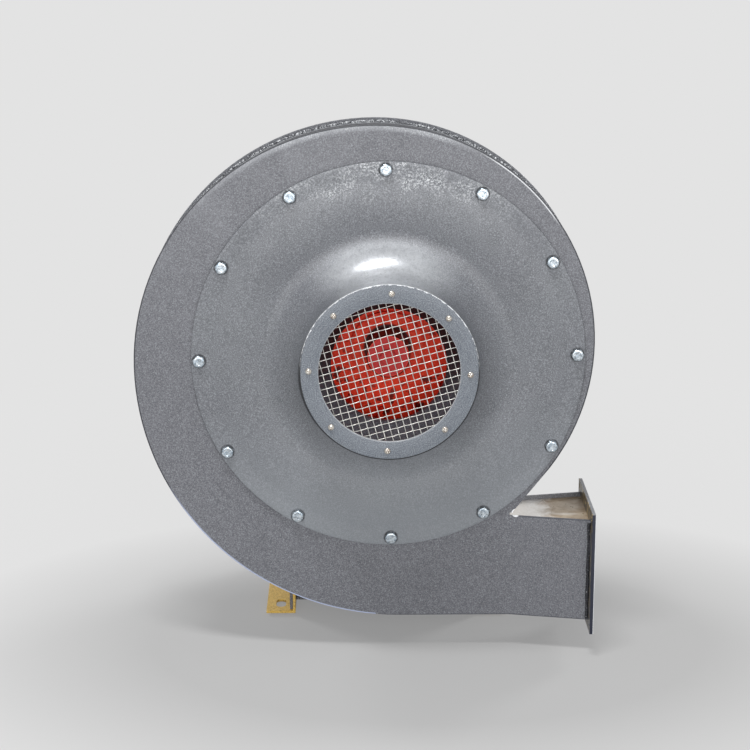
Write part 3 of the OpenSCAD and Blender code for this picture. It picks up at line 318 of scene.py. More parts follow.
enamelLook = {"cloudMm": 110, "cloudBand": (0.35, 0.7), "mistMm": 28, "mistBand": (0.52, 0.8), "mistShare": 0.5,
              "speckMm": 1.25, "brightBand": (0.50, 0.70), "deepBand": (0.50, 0.30), "speckShare": 0.95,
              "glossBand": (0.3, 0.7)}


# sprayed alkyd enamel on sheet steel: a soft gloss, fine orange peel, and clouds where the coat is thin
def sprayedEnamel(name, base, pale, deep, bright="#9b9ea3", peelMm=2.2, peelDepth=0.05, rough=(0.30, 0.42),
                  wear=None):
    look = enamelLook
    made, tree, place = startMaterial(name)
    clouds = noise(tree, place, look["cloudMm"], 5.0, 0.6, 0.4)
    mist = noise(tree, place, look["mistMm"], 4.0, 0.65)
    speck = noise(tree, place, look["speckMm"], 2.0, 0.8)  # droplets of the spray, as coarse as they show
    peel = noise(tree, place, peelMm, 2.0, 0.5)
    colour = twoTone(tree, band(tree, clouds, look["cloudBand"]), base, pale)
    colour = tint(tree, band(tree, mist, look["mistBand"], 0.0, look["mistShare"]), colour, deep)
    colour = tint(tree, band(tree, speck, look["brightBand"], 0.0, look["speckShare"]), colour, bright)
    colour = tint(tree, band(tree, speck, look["deepBand"], 0.0, look["speckShare"]), colour, deep)
    roughness = band(tree, mist, look["glossBand"], *rough)
    metal = 0.0
    if wear:
        colour, roughness, metal = wear(tree, place, colour, roughness)
    finishMaterial(tree, colour, roughness, peel, peelDepth, metal)
    return made


# zones in metres in the model's frame: X and Z limits, and In or Out for the distance in from the outline
plateLook = {"rubAndHighlightX": (-0.02, -0.22), "rubAndHighlightZ": (0.02, 0.16), "rubAndHighlightMm": 46, "rubAndHighlightBand": (0.45, 0.72), "rubAndHighlightShare": 0.3,
             "rubDull": 0.12, "topZ": (0.17, 0.23), "topX": (0.11, 0.06), "topIn": (0.008, 0.003),
             "topOut": (0.0006, 0.0014), "glintMm": 1.2, "topShare": 0.3, "lineX": (0.100, 0.125),
             "lineZ": (0.150, 0.166), "lineIn": (0.0030, 0.0026), "lineOut": (0.0014, 0.0018), "lineShare": 0.8,
             "scrollZ": (-0.145, -0.135), "outlineIn": (0.0017, 0.0012), "outlineShare": 0.92,
             "edgeHighlightZ": (-0.15, -0.19), "tip": (0.1481, 0.0, -0.187), "tipR": (0.0050, 0.0045),
             "bottomZ": (-0.3114, -0.3122), "ductX": (0.150, 0.152), "ductZ": (-0.1918, -0.1910),
             "ductOverZ": (-0.186, -0.188), "shadedEdgeShare": 0.8}


def plateWear(tree, place, colour, roughness):
    # rubbed patches high on the left of the front plate, where it was handled and stacked
    look = plateLook
    parts = separate(tree, place)
    x, z = parts[0], parts[2]
    cloud = noise(tree, place, look["rubAndHighlightMm"], 6.0, 0.7, 0.8)
    amount = product(tree, band(tree, x, look["rubAndHighlightX"]), band(tree, z, look["rubAndHighlightZ"]),
                     band(tree, cloud, look["rubAndHighlightBand"], 0.0, look["rubAndHighlightShare"]))
    colour = tint(tree, amount, colour, "#a3a6ab")
    # painted highlight: bright glints and a pale film just inside the top edge, where the rim catches the light
    edgeIn = inFromEdge(tree, place, parts)
    rim = product(tree, band(tree, edgeIn, look["topIn"]), band(tree, edgeIn, look["topOut"]),
                  band(tree, z, look["topZ"]), band(tree, x, look["topX"]))
    colour = paintedGlints(tree, place, colour, rim, look["glintMm"])
    colour = tint(tree, product(tree, rim, look["topShare"]), colour, "#c3c7cc")
    # painted highlight: a bright line along the edge at the upper right, where it catches the light
    edgeHighlight = product(tree, band(tree, x, look["lineX"]), band(tree, z, look["lineZ"]),
                   band(tree, edgeIn, look["lineIn"]), band(tree, edgeIn, look["lineOut"]), look["lineShare"])
    colour = tint(tree, edgeHighlight, colour, "#eceff2")
    # dark line just inside the scroll's edge, turning low down to a painted highlight where the edge catches the
    # light
    onScroll = sums(tree, "MAXIMUM", sums(tree, "LESS_THAN", x, -volute["scrollOff"] * mm),
                    band(tree, z, look["scrollZ"]))
    outline = product(tree, band(tree, edgeIn, look["outlineIn"]), onScroll, look["outlineShare"])
    rimTone = twoTone(tree, band(tree, z, look["edgeHighlightZ"]), "#1c1f29", "#a7b1cc")
    colour = blendColour(tree, outline, colour, rimTone)
    # painted highlight: a white spot on the rounded tip of the notch
    tip = awayFrom(tree, flattened(tree, place), look["tip"])
    colour = tint(tree, band(tree, tip, look["tipR"]), colour, "#f2f4f6")
    # painted shade: dark lines along the plate's bottom edge and along the duct's edge
    ductEdge = product(tree, band(tree, x, look["ductX"]), band(tree, z, look["ductZ"]),
                       band(tree, z, look["ductOverZ"]))
    shadedEdge = sums(tree, "MAXIMUM", band(tree, z, look["bottomZ"]), ductEdge)
    colour = tint(tree, product(tree, shadedEdge, look["shadedEdgeShare"]), colour, "#33363f")
    return colour, sums(tree, "ADD", roughness, product(tree, amount, look["rubDull"])), 0.0


glintLook = {"patchMm": 26, "patchBand": (0.32, 0.68), "glintMm": 1.7, "glintBand": (0.49, 0.66)}


def paintedGlints(tree, place, colour, zone, sizeMm=glintLook["glintMm"]):
    # painted highlight: bright glints where both a patch noise and a grain noise are high
    look = glintLook
    patches = band(tree, noise(tree, place, look["patchMm"], 3.0, 0.6), look["patchBand"])
    glint = band(tree, noise(tree, place, sizeMm, 2.0, 0.8), look["glintBand"])
    return tint(tree, product(tree, zone, patches, glint), colour, "#eef1f4")


coverLook = {"boltCircle": 0.215, "boltCount": 12, "boltTurn": 0.8, "soilAndShadeR": (0.0075, 0.0091), "soilAndShadeMm": 3,
             "soilAndShadeBand": (0.3, 0.55), "soilAndShadeDull": 0.3, "glintZ": (0.150, 0.205), "glintR": (0.168, 0.204),
             "floorLightZ": (-0.06, -0.19), "floorLightShare": 0.55, "creaseSlope": 0.126, "creaseR": (0.1008, 0.1022),
             "creaseShare": 0.9, "creaseZ": (0.03, -0.02), "bellHighlightMidX": -0.006, "bellHighlightR": (0.140, 0.122),
             "rubAndHighlightZ": (0.070, 0.096), "rubAndHighlightX": (0.090, 0.040), "rubAndHighlightMm": 5.0, "rubAndHighlightBand": (0.30, 0.55),
             "rubAndHighlightShare": 0.6, "bellHighlightGloss": 0.06, "bellHighlightMetal": 0.36}


def coverWear(tree, place, colour, roughness):
    # dark ring round each bolt head, partly soil and partly painted shade where the head meets the cover: distance
    # to the nearest of the bolts, its angle folded
    look = coverLook
    radius, parts = radiusFromShaft(tree, place)
    z = parts[2]
    angle = sums(tree, "ARCTAN2", z, parts[0])
    step = 2 * math.pi / look["boltCount"]
    turn = math.radians(90 + look["boltTurn"])
    folded = sums(tree, "PINGPONG", sums(tree, "ADD", angle, 4 * math.pi - turn), step / 2)
    along = product(tree, radius, sums(tree, "SINE", folded))
    out = sums(tree, "SUBTRACT", product(tree, radius, sums(tree, "COSINE", folded)), look["boltCircle"])
    away = length(tree, along, out)
    thin = band(tree, noise(tree, place, look["soilAndShadeMm"], 3.0), look["soilAndShadeBand"], 0.35, 0.95)
    soilAndShade = product(tree, band(tree, away, look["soilAndShadeR"], 1.0, 0.0), thin)
    # painted highlight: glints on the cover's top, near the rim
    zone = product(tree, band(tree, z, look["glintZ"]), band(tree, radius, look["glintR"]))
    colour = paintedGlints(tree, place, colour, zone)
    # painted light: the lower part of the cover paler, standing for light thrown up from the floor
    colour = tint(tree, band(tree, z, look["floorLightZ"], 0.0, look["floorLightShare"]), colour, "#8d9297")
    # painted shadow in the crease round the neck's lower half, under the ring
    creaseShadow = sums(tree, "ADD", radius, product(tree, z, look["creaseSlope"]))
    creaseShadow = product(tree, band(tree, creaseShadow, look["creaseR"], look["creaseShare"], 0.0),
                     band(tree, z, look["creaseZ"]))
    soilAndShade = sums(tree, "MAXIMUM", soilAndShade, creaseShadow)
    colour = tint(tree, soilAndShade, colour, "#2a2b2e")
    # painted highlight on the upper bell: a pale, glossier, partly metallic patch where the bell catches the light
    sideways = sums(tree, "ABSOLUTE", sums(tree, "SUBTRACT", parts[0], look["bellHighlightMidX"]))
    rag = band(tree, noise(tree, place, look["rubAndHighlightMm"], 5.0, 0.75), look["rubAndHighlightBand"], 0.55, 1.0)
    bellHighlight = product(tree, band(tree, radius, look["bellHighlightR"]), band(tree, z, look["rubAndHighlightZ"]),
                  band(tree, sideways, look["rubAndHighlightX"]), rag)
    colour = tint(tree, product(tree, bellHighlight, look["rubAndHighlightShare"]), colour, "#d3d6da")
    roughness = sums(tree, "SUBTRACT", roughness, product(tree, bellHighlight, look["bellHighlightGloss"]))
    roughness = sums(tree, "ADD", roughness, product(tree, soilAndShade, look["soilAndShadeDull"]))
    return colour, roughness, product(tree, bellHighlight, look["bellHighlightMetal"])


ringLook = {"outer": 0.0995, "inner": 0.0785, "chip": 0.0013, "innerBand": 0.0009, "ragMm": 5.0,
            "ragBand": (0.42, 0.66), "upperZ": (-0.07, 0.02), "brushAcross": 900.0, "brushAlong": 7.0,
            "smearMm": 18.0, "smearBand": (0.42, 0.62), "brushBand": (0.50, 0.66), "smearShare": 0.55,
            "paleBand": (0.46, 0.32), "paleShare": 0.3, "outlineR": (0.0979, 0.0984), "outlineZ": (0.045, 0.0),
            "bareGloss": 0.08}


def ringWear(tree, place, colour, roughness):
    # paint chipped to bright steel along the outer edge, rubbed thin at the mouth, with a brushed ground and
    # painted shade along the lower outer edge
    look = ringLook
    radius, parts = radiusFromShaft(tree, place)
    z = parts[2]
    rag = noise(tree, place, look["ragMm"], 4.0, 0.7, 0.5)
    reach = product(tree, band(tree, rag, look["ragBand"], 0.0, look["chip"]),
                    band(tree, z, look["upperZ"], 0.15, 1.0))
    chips = sums(tree, "LESS_THAN", sums(tree, "SUBTRACT", look["outer"], radius), reach)
    inside = band(tree, sums(tree, "SUBTRACT", radius, look["inner"]), (0.0, look["innerBand"]), 0.4, 0.0)
    bare = sums(tree, "MAXIMUM", chips, inside)
    turn = sums(tree, "ARCTAN2", z, parts[0])
    polar = addNode(tree, "ShaderNodeCombineXYZ", {
        0: product(tree, radius, look["brushAcross"]), 1: product(tree, turn, look["brushAlong"])})
    brushed = noise(tree, polar.outputs[0], 1 / mm, 3.0, 0.6)  # one unit of the stretched place per patch
    smear = product(tree, band(tree, noise(tree, place, look["smearMm"], 4.0, 0.7, 1.0), look["smearBand"]),
                    band(tree, brushed, look["brushBand"]), look["smearShare"])
    colour = tint(tree, smear, colour, "#434b5a")
    colour = tint(tree, band(tree, brushed, look["paleBand"], 0.0, look["paleShare"]), colour, "#8f979f")
    colour = tint(tree, bare, colour, "#e9ecee")
    # painted shade: a dark line on the outer edge of the ring's lower half
    outline = product(tree, band(tree, radius, look["outlineR"]), band(tree, z, look["outlineZ"]))
    colour = tint(tree, outline, colour, "#16181c")
    return colour, sums(tree, "SUBTRACT", roughness, product(tree, bare, look["bareGloss"])), 0.0


wrapperLook = {"topX": (0.122, 0.126), "topZ": (-0.203, -0.201), "topOverZ": (-0.168, -0.174), "ragMm": 14.0,
               "ragReach": 0.006, "brownX": (0.176, 0.196), "streakY": 0.094, "streakHalf": (0.0, 0.006),
               "streakShare": 0.75, "streakX": (0.186, 0.204), "streakEndX": (0.226, 0.214), "gloss": 0.16,
               "channelZ": (0.09, 0.16), "channelY": (0.132, 0.124), "channelMm": 9, "channelDull": 0.45,
               "channelShare": 0.9, "cornerZ": (0.15, 0.20), "cornerY": (0.131, 0.136), "spatterMm": 2.6,
               "spatterBand": (0.50, 0.58), "slagBand": (0.47, 0.42), "zincMetal": 0.25, "brownMetal": 0.2}


def wrapperWear(tree, place, colour, roughness):
    # the duct's top wall was masked: bare zinc coat, painted near white at the notch and brown towards the flange
    # as painted reflections of the pale backdrop and the floor
    look = wrapperLook
    parts = separate(tree, place)
    x, y, z = parts[0], parts[1], parts[2]
    onTop = product(tree, band(tree, x, look["topX"]), band(tree, z, look["topZ"]),
                    band(tree, z, look["topOverZ"]))
    rag = noise(tree, place, look["ragMm"], 4.0, 0.6, 0.5)
    along = sums(tree, "ADD", x, spread(tree, rag, 0.3, 0.7, -look["ragReach"], look["ragReach"]))
    brown = band(tree, along, look["brownX"])
    zincAndReflection = twoTone(tree, spread(tree, noise(tree, place, 2.2, 3.0), 0.35, 0.7), "#fffcf8", "#f3eee8")
    brownReflection = twoTone(tree, spread(tree, rag, 0.4, 0.7), "#b5a48c", "#8f7657")
    coat = blendColour(tree, brown, zincAndReflection, brownReflection)
    # painted highlight: a pale streak across the top wall
    fromStreak = sums(tree, "ABSOLUTE", sums(tree, "SUBTRACT", y, look["streakY"]))
    highlightStreak = product(tree, band(tree, fromStreak, look["streakHalf"], look["streakShare"], 0.0),
                     band(tree, x, look["streakX"]), band(tree, x, look["streakEndX"]))
    coat = tint(tree, highlightStreak, coat, "#e6e0d6")
    colour = blendColour(tree, onTop, colour, coat)
    smooth = product(tree, onTop, spread(tree, brown, 0.0, 1.0, 1.0, 0.3), look["gloss"])
    roughness = sums(tree, "SUBTRACT", roughness, smooth)
    # painted shadow: the wrapper's top between the plates made nearly black, and duller
    thin = spread(tree, noise(tree, place, look["channelMm"], 4.0, 0.6), 0.32, 0.55, 0.82, 1.0)
    channelShadow = product(tree, band(tree, z, look["channelZ"]), band(tree, y, look["channelY"]), thin)
    roughness = sums(tree, "ADD", roughness, product(tree, channelShadow, look["channelDull"]))
    colour = tint(tree, product(tree, channelShadow, look["channelShare"]), colour, "#191a1f")
    # weld spatter and slag in the corner with the rear plate
    corner = product(tree, band(tree, z, look["cornerZ"]), band(tree, y, look["cornerY"]))
    spatter = noise(tree, place, look["spatterMm"], 3.0, 0.8)
    colour = tint(tree, product(tree, corner, band(tree, spatter, look["spatterBand"])), colour, "#d9dde1")
    colour = tint(tree, product(tree, corner, band(tree, spatter, look["slagBand"])), colour, "#1c1d22")
    metal = spread(tree, brown, 0.0, 1.0, look["zincMetal"], look["brownMetal"])
    return colour, roughness, product(tree, onTop, metal)


flangeLook = {"frontY": (0.0400, 0.0396), "rearY": (0.1792, 0.1796), "backX": (0.2342, 0.2338), "ragMm": 9.0,
              "ragBand": (0.45, 0.62), "highZ": (-0.215, -0.190), "lipX": (0.2369, 0.2372)}


def flangeWear(tree, place, colour, roughness):
    # flat bar left in brown primer inside the corner, mottled with dark patches of painted shade, with its outer
    # rim in dark blue-black scale and a painted highlight along the outer lip
    look = flangeLook
    parts = separate(tree, place)
    rim = sums(tree, "MAXIMUM", band(tree, parts[1], look["frontY"]), band(tree, parts[1], look["rearY"]))
    rag = noise(tree, place, look["ragMm"], 4.0, 0.7, 0.6)
    brown = twoTone(tree, band(tree, rag, look["ragBand"]), "#2e2e33", "#b39c66")
    primerAndShade = product(tree, band(tree, parts[0], look["backX"]), band(tree, parts[2], look["highZ"], 0.35, 1.0))
    colour = blendColour(tree, primerAndShade, colour, brown)
    colour = tint(tree, rim, colour, "#1b2031")
    # painted highlight: a bright line along the outer lip, where its edge catches the light
    lipHighlight = product(tree, rim, band(tree, parts[0], look["lipX"]))
    return tint(tree, lipHighlight, colour, "#e4e7ea"), roughness, 0.0


def coneTopShade(tree, place, colour, roughness):
    # painted shade: the upper side of the cone made nearly black, fading lower down
    rag = spread(tree, noise(tree, place, 20, 3.0), 0.3, 0.7, -0.012, 0.012)
    high = sums(tree, "ADD", separate(tree, place)[2], rag)
    return tint(tree, spread(tree, high, -0.03, 0.03, 0.0, 0.93), colour, "#08080a"), roughness, 0.0


greyEnamel = sprayedEnamel("greySprayedEnamel", "#6b6c72", "#737479", "#535459")
plateEnamel = sprayedEnamel("plateSprayedEnamel", "#65666c", "#6c6d73", "#4b4c52", bright="#909398",
                           wear=plateWear)
coverEnamel = sprayedEnamel("coverSprayedEnamel", "#686a70", "#707378", "#525559", bright="#94979c", peelMm=1.8,
                            rough=(0.30, 0.40), wear=coverWear)
ringEnamel = sprayedEnamel("ringSprayedEnamel", "#656b73", "#6e757e", "#4e555e", peelDepth=0.03, wear=ringWear)
wrapperEnamel = sprayedEnamel("wrapperSprayedEnamel", "#5f6066", "#6b6c72", "#3d3e42", wear=wrapperWear)
flangeEnamel = sprayedEnamel("flangeSprayedEnamel", "#6f7075", "#808186", "#4b4c50", wear=flangeWear)
coneEnamel = sprayedEnamel("coneSprayedEnamel", "#3d3c43", "#4a4950", "#2c2b31", bright="#66656c",
                           rough=(0.5, 0.62), wear=coneTopShade)
print("grey enamels made")


redLook = {"cloudMm": 16, "speckMm": 1.6, "capR": (0.0235, 0.0225), "capY": (0.080, 0.079),
           "flankR": (0.0285, 0.0262), "flankY": (0.078, 0.0795), "flankShare": 0.7, "edgeR": (0.0232, 0.0240),
           "edgeEndR": (0.0290, 0.0265), "shadePatchR": (0.036, 0.060), "shadePatchMm": 11, "shadePatchBand": (0.56, 0.62),
           "shadePatchShare": 0.85}


def redEnamelMaterial():
    # orange-red enamel brushed over the welded wheel: glossy, with painted shade on the hub's flank, in a ring
    # round its face and in patches further out
    look = redLook
    made, tree, place = startMaterial("redBrushedEnamel")
    radius, parts = radiusFromShaft(tree, place)
    y = parts[1]
    clouds = noise(tree, place, look["cloudMm"], 4.0, 0.65, 0.6)
    speck = noise(tree, place, look["speckMm"], 2.0, 0.6)
    colour = twoTone(tree, spread(tree, clouds, 0.38, 0.66), "#ff3f18", "#f33618")
    colour = tint(tree, spread(tree, speck, 0.55, 0.8, 0.0, 0.6), colour, "#ff6e4c")
    face = product(tree, band(tree, radius, look["capR"]), band(tree, y, look["capY"]))
    colour = tint(tree, face, colour, "#c02c2c")
    # painted shade on the hub's flank, in a ring round its face and in patches among the blades
    flankShade = product(tree, band(tree, radius, look["flankR"]), band(tree, y, look["flankY"]), look["flankShare"])
    edge = product(tree, band(tree, radius, look["edgeR"]), band(tree, radius, look["edgeEndR"]))
    shadePatchNoise = band(tree, noise(tree, place, look["shadePatchMm"], 3.0, 0.5), look["shadePatchBand"], 0.0, look["shadePatchShare"])
    shadePatches = product(tree, band(tree, radius, look["shadePatchR"]), shadePatchNoise)
    dark = sums(tree, "MAXIMUM", sums(tree, "MAXIMUM", flankShade, edge), shadePatches)
    colour = tint(tree, dark, colour, "#3c0d0b")
    roughness = spread(tree, clouds, 0.3, 0.7, 0.38, 0.55)
    finishMaterial(tree, colour, roughness, clouds, 0.25, **{"Specular IOR Level": 0.3})
    return made


def zincPlate(name, bright, shade, soilAndShade, soilHex, rough=(0.18, 0.38)):
    # electroplated zinc: bright silver with faint blue clouds, and some soil left in it
    made, tree, place = startMaterial(name)
    clouds = noise(tree, place, 3.5, 4.0, 0.7, 1.0)
    dirt = noise(tree, place, 2.6, 5.0, 0.75)
    colour = twoTone(tree, spread(tree, clouds, 0.35, 0.7), bright, shade)
    low, high = 0.6 - soilAndShade, 0.78 - soilAndShade * 0.5  # more soil lowers both ends of the dirt's band
    colour = tint(tree, spread(tree, dirt, low, high, 0.0, 0.85), colour, soilHex)
    finishMaterial(tree, colour, spread(tree, clouds, 0.3, 0.7, rough[0], rough[1]), dirt, 0.06, metal=0.85)
    return made


def yellowPassivateMaterial():
    # yellow chromate over zinc: gold with straw and brown mottling from the bath
    made, tree, place = startMaterial("yellowChromateZinc")
    mottle = noise(tree, place, 7.0, 6.0, 0.75, 1.2)
    fine = noise(tree, place, 2.0, 4.0, 0.7)
    colour = twoTone(tree, spread(tree, mottle, 0.36, 0.64), "#e7be55", "#d3b062")
    colour = tint(tree, spread(tree, fine, 0.52, 0.74, 0.0, 0.75), colour, "#f6e09a")
    colour = tint(tree, spread(tree, fine, 0.46, 0.28, 0.0, 0.8), colour, "#5a4212")
    finishMaterial(tree, colour, spread(tree, mottle, 0.3, 0.7, 0.34, 0.58), fine, 0.10, metal=0.4)
    return made


def machinedSteelMaterial():
    # turned mild steel with an oil film: fine rings round the shaft and a brownish cast
    made, tree, place = startMaterial("turnedMildSteel")
    radius, parts = radiusFromShaft(tree, place)
    rings = addNode(tree, "ShaderNodeTexWave", {"Vector": place, "Scale": 160.0, "Distortion": 1.5, "Detail": 3.0},
                    wave_type="BANDS", bands_direction="Y").outputs["Fac"]
    film = noise(tree, place, 22, 4.0, 0.6)
    colour = twoTone(tree, spread(tree, film, 0.4, 0.7), "#a6a5a4", "#8c867e")
    finishMaterial(tree, colour, spread(tree, rings, 0.0, 1.0, 0.28, 0.42), rings, 0.03, metal=1.0)
    return made


def castPaintMaterial():
    # grey enamel on die-cast aluminium: the sand-fine skin of the casting shows through the coat
    made, tree, place = startMaterial("enamelOnDieCasting")
    skin = noise(tree, place, 1.4, 4.0, 0.7)
    clouds = noise(tree, place, 60, 4.0, 0.6)
    colour = twoTone(tree, spread(tree, clouds, 0.35, 0.7), "#75767b", "#818388")
    colour = tint(tree, spread(tree, skin, 0.55, 0.8, 0.0, 0.4), colour, "#62646a")
    finishMaterial(tree, colour, spread(tree, skin, 0.3, 0.7, 0.42, 0.60), skin, 0.12)
    return made


def copperMaterial():
    # varnished winding wire laid round the hoop: fine bands 1.2 mm apart under amber lacquer
    made, tree, place = startMaterial("varnishedWindingCopper")
    wires = addNode(tree, "ShaderNodeTexWave", {"Vector": place, "Scale": 130.0, "Distortion": 4.0, "Detail": 2.0},
                    wave_type="RINGS", rings_direction="Y").outputs["Fac"]
    colour = twoTone(tree, wires, "#8c4a22", "#c9783c")
    finishMaterial(tree, colour, spread(tree, wires, 0.0, 1.0, 0.42, 0.25), wires, 0.4, metal=0.7)
    return made


def rubberMaterial():
    # nitrile rubber cut from sheet: matt black with a bloom of dust
    made, tree, place = startMaterial("nitrileSheetRubber")
    bloom = noise(tree, place, 8, 4.0, 0.7)
    colour = twoTone(tree, spread(tree, bloom, 0.4, 0.75), "#17181a", "#2c2d30")
    finishMaterial(tree, colour, spread(tree, bloom, 0.3, 0.7, 0.7, 0.9), noise(tree, place, 1.2, 3.0), 0.05)
    return made


def nylonMaterial():
    # black glass-filled nylon, moulded: satin skin with a faint spark-eroded grain
    made, tree, place = startMaterial("mouldedBlackNylon")
    grain = noise(tree, place, 1.1, 3.0, 0.6)
    tone = spread(tree, noise(tree, place, 30, 3.0), 0.4, 0.7)
    colour = twoTone(tree, tone, "#1b1c1f", "#26282b")
    finishMaterial(tree, colour, spread(tree, grain, 0.3, 0.7, 0.40, 0.56), grain, 0.05)
    return made


def feltMaterial():
    # pressed wool felt: matted fibres, no gloss
    made, tree, place = startMaterial("pressedWoolFelt")
    fibre = noise(tree, place, 1.3, 6.0, 0.8, 2.0)
    colour = twoTone(tree, spread(tree, fibre, 0.35, 0.7), "#55514c", "#7d7871")
    finishMaterial(tree, colour, spread(tree, fibre, 0.3, 0.7, 0.85, 1.0), fibre, 0.4, **{"Sheen Weight": 0.3})
    return made


def weldMaterial(name, slag, scale, brightFrom):
    # arc-weld bead under a thin coat: scale with bright spatter above brightFrom and dark slag in the hollows
    made, tree, place = startMaterial(name)
    ripple = noise(tree, place, 2.4, 4.0, 0.75, 0.8)
    colour = twoTone(tree, spread(tree, ripple, 0.38, 0.52), slag, scale)
    colour = tint(tree, spread(tree, ripple, brightFrom, brightFrom + 0.06), colour, "#eef1f4")
    finishMaterial(tree, colour, spread(tree, ripple, 0.35, 0.65, 0.55, 0.25), ripple, 0.5)
    return made


redEnamel = redEnamelMaterial()
brightZinc = zincPlate("brightZincPlate", "#e4eaee", "#7d91a2", 0.15, "#2b2f35")
screwZinc = zincPlate("soiledZincPlate", "#e2e0da", "#b3b0a8", 0.17, "#6b4220")
wireZinc = zincPlate("galvanisedWire", "#d6d6d2", "#bcbcb6", 0.04, "#7d7a70", rough=(0.34, 0.5))
yellowZinc = yellowPassivateMaterial()
turnedSteel = machinedSteelMaterial()
castPaint = castPaintMaterial()
windingCopper = copperMaterial()
sheetRubber = rubberMaterial()
blackNylon = nylonMaterial()
woolFelt = feltMaterial()
weldBead = weldMaterial("paintedWeldBead", "#121317", "#6a6c72", 0.53)
slagBead = weldMaterial("slaggyWeldBead", "#0c0d10", "#1b1d24", 0.62)

# every CAD node takes the finish of its record slot, and a few have their own
slotFinish = {"housing_paint": greyEnamel, "ring_paint": ringEnamel, "wheel_paint": redEnamel, "zinc": brightZinc,
              "yellow_zinc": yellowZinc, "bare_steel": turnedSteel, "motor_aluminium": castPaint,
              "copper": windingCopper, "rubber": sheetRubber, "plastic": blackNylon, "felt": woolFelt}
ownFinish = {"front_side_plate": plateEnamel, "intake_cover": coverEnamel, "scroll_wrapper": wrapperEnamel,
             "outlet_flange": flangeEnamel, "intake_cone": coneEnamel, "ring_screws": screwZinc}
for part in frame["record"]["subparts"]:
    finish = ownFinish.get(part["node"], slotFinish[part["material_slot"]])
    data = nodes[part["node"]].data
    if not data.materials:
        data.materials.append(finish)
    for place in nodes[part["node"]].material_slots:
        place.material = finish
print("materials on", len(nodes), "nodes")


# spun intake cover: rim, faintly dished flat, bell, neck and turned-in lip
cover = {"flatY": 70.6, "thick": 2.5, "rimR": 224.0, "bellR": 48.0, "neckR": 96.0, "lipY": 8.4, "lipR": 80.7,
         "dish": 1.5, "dishR": 204.0, "waveFrom": 112, "waveTo": 206, "wave": 0.22, "fineWave": 0.15, "turns": 240}


def makeCover():
    # outer face from the lip to the rim, then the inner face back, as one closed profile
    c, t = cover, cover["thick"]
    bell = (c["neckR"] + c["bellR"], c["flatY"] - c["bellR"])
    flat = np.linspace(bell[0], c["rimR"] - 0.6, 26)[1:]
    rise = np.clip((flat - bell[0]) / (c["dishR"] - bell[0]), 0, 1)
    dished = c["flatY"] - c["dish"] * np.sin(rise * np.pi)
    outer = np.concatenate([
        [(c["lipR"], c["lipY"] + t), (c["lipR"], c["lipY"] + 0.4), (c["lipR"] + 0.4, c["lipY"])],
        arcPoints((c["neckR"] - 1.2, c["lipY"] + 1.2), 1.2, -90, 0, 5),
        arcPoints(bell, c["bellR"], 180, 90, 26), np.stack([flat, dished], axis=1),
        arcPoints((c["rimR"] - 0.6, c["flatY"] + 0.6), 0.6, -60, 0, 4)])
    back = np.stack([flat[::-1], np.maximum(dished[::-1] + t, c["flatY"] + 0.2)], axis=1)
    back[:, 1] = np.minimum(back[:, 1], c["flatY"] + t)
    inner = np.concatenate([
        [(c["rimR"], c["flatY"] + t)], back, arcPoints(bell, c["bellR"] + t, 90, 180, 20),
        [(c["neckR"] - t, c["lipY"] + t)]])
    profile = np.concatenate([outer, inner])

    def wobble(r, a):
        # shallow waves the spinning leaves in the flat, none at the rim or the neck
        zone = np.clip((r - c["waveFrom"]) / 30, 0, 1) * np.clip((c["waveTo"] - r) / 20, 0, 1)
        return zone * (c["wave"] * np.sin(5 * a + 0.8) + c["fineWave"] * np.sin(9 * a - r / 17.0))

    grid = turned(profile, c["turns"], wobble) * mm
    faces = gridFaces(len(profile), c["turns"], True, True)
    piece = putMesh("spunIntakeCover", grid.reshape(-1, 3), [faces[:, ::-1]], coverEnamel, "casing")
    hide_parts("intake_cover")


# flat ring over the mesh, its edges broken by a file
ring = {"outer": 99.5, "inner": 78.5, "thick": 4.0, "ease": 0.5, "turns": 240}


def makeRing():
    # rectangle of radius and Y with a quarter round at each corner
    c, e = ring, ring["ease"]
    profile = np.concatenate([
        arcPoints((c["outer"] - e, e), e, -90, 0, 5), arcPoints((c["outer"] - e, c["thick"] - e), e, 0, 90, 5),
        arcPoints((c["inner"] + e, c["thick"] - e), e, 90, 180, 5),
        arcPoints((c["inner"] + e, e), e, 180, 270, 5)])
    grid = turned(profile, c["turns"]) * mm
    faces = gridFaces(len(profile), c["turns"], True, True)
    piece = putMesh("flatIntakeRing", grid.reshape(-1, 3), [faces[:, ::-1]], ringEnamel, "casing")
    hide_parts("intake_ring")


# woven wire: 8 mm apart, about 1 mm thick, crimped over and under, turned 15 degrees
wire = {"pitch": 8.0, "radius": 0.48, "crimp": 0.55, "reach": 84.5, "edge": 2.0, "turn": 15.0, "midY": 5.2,
        "sides": 6, "stepsPerPitch": 4}


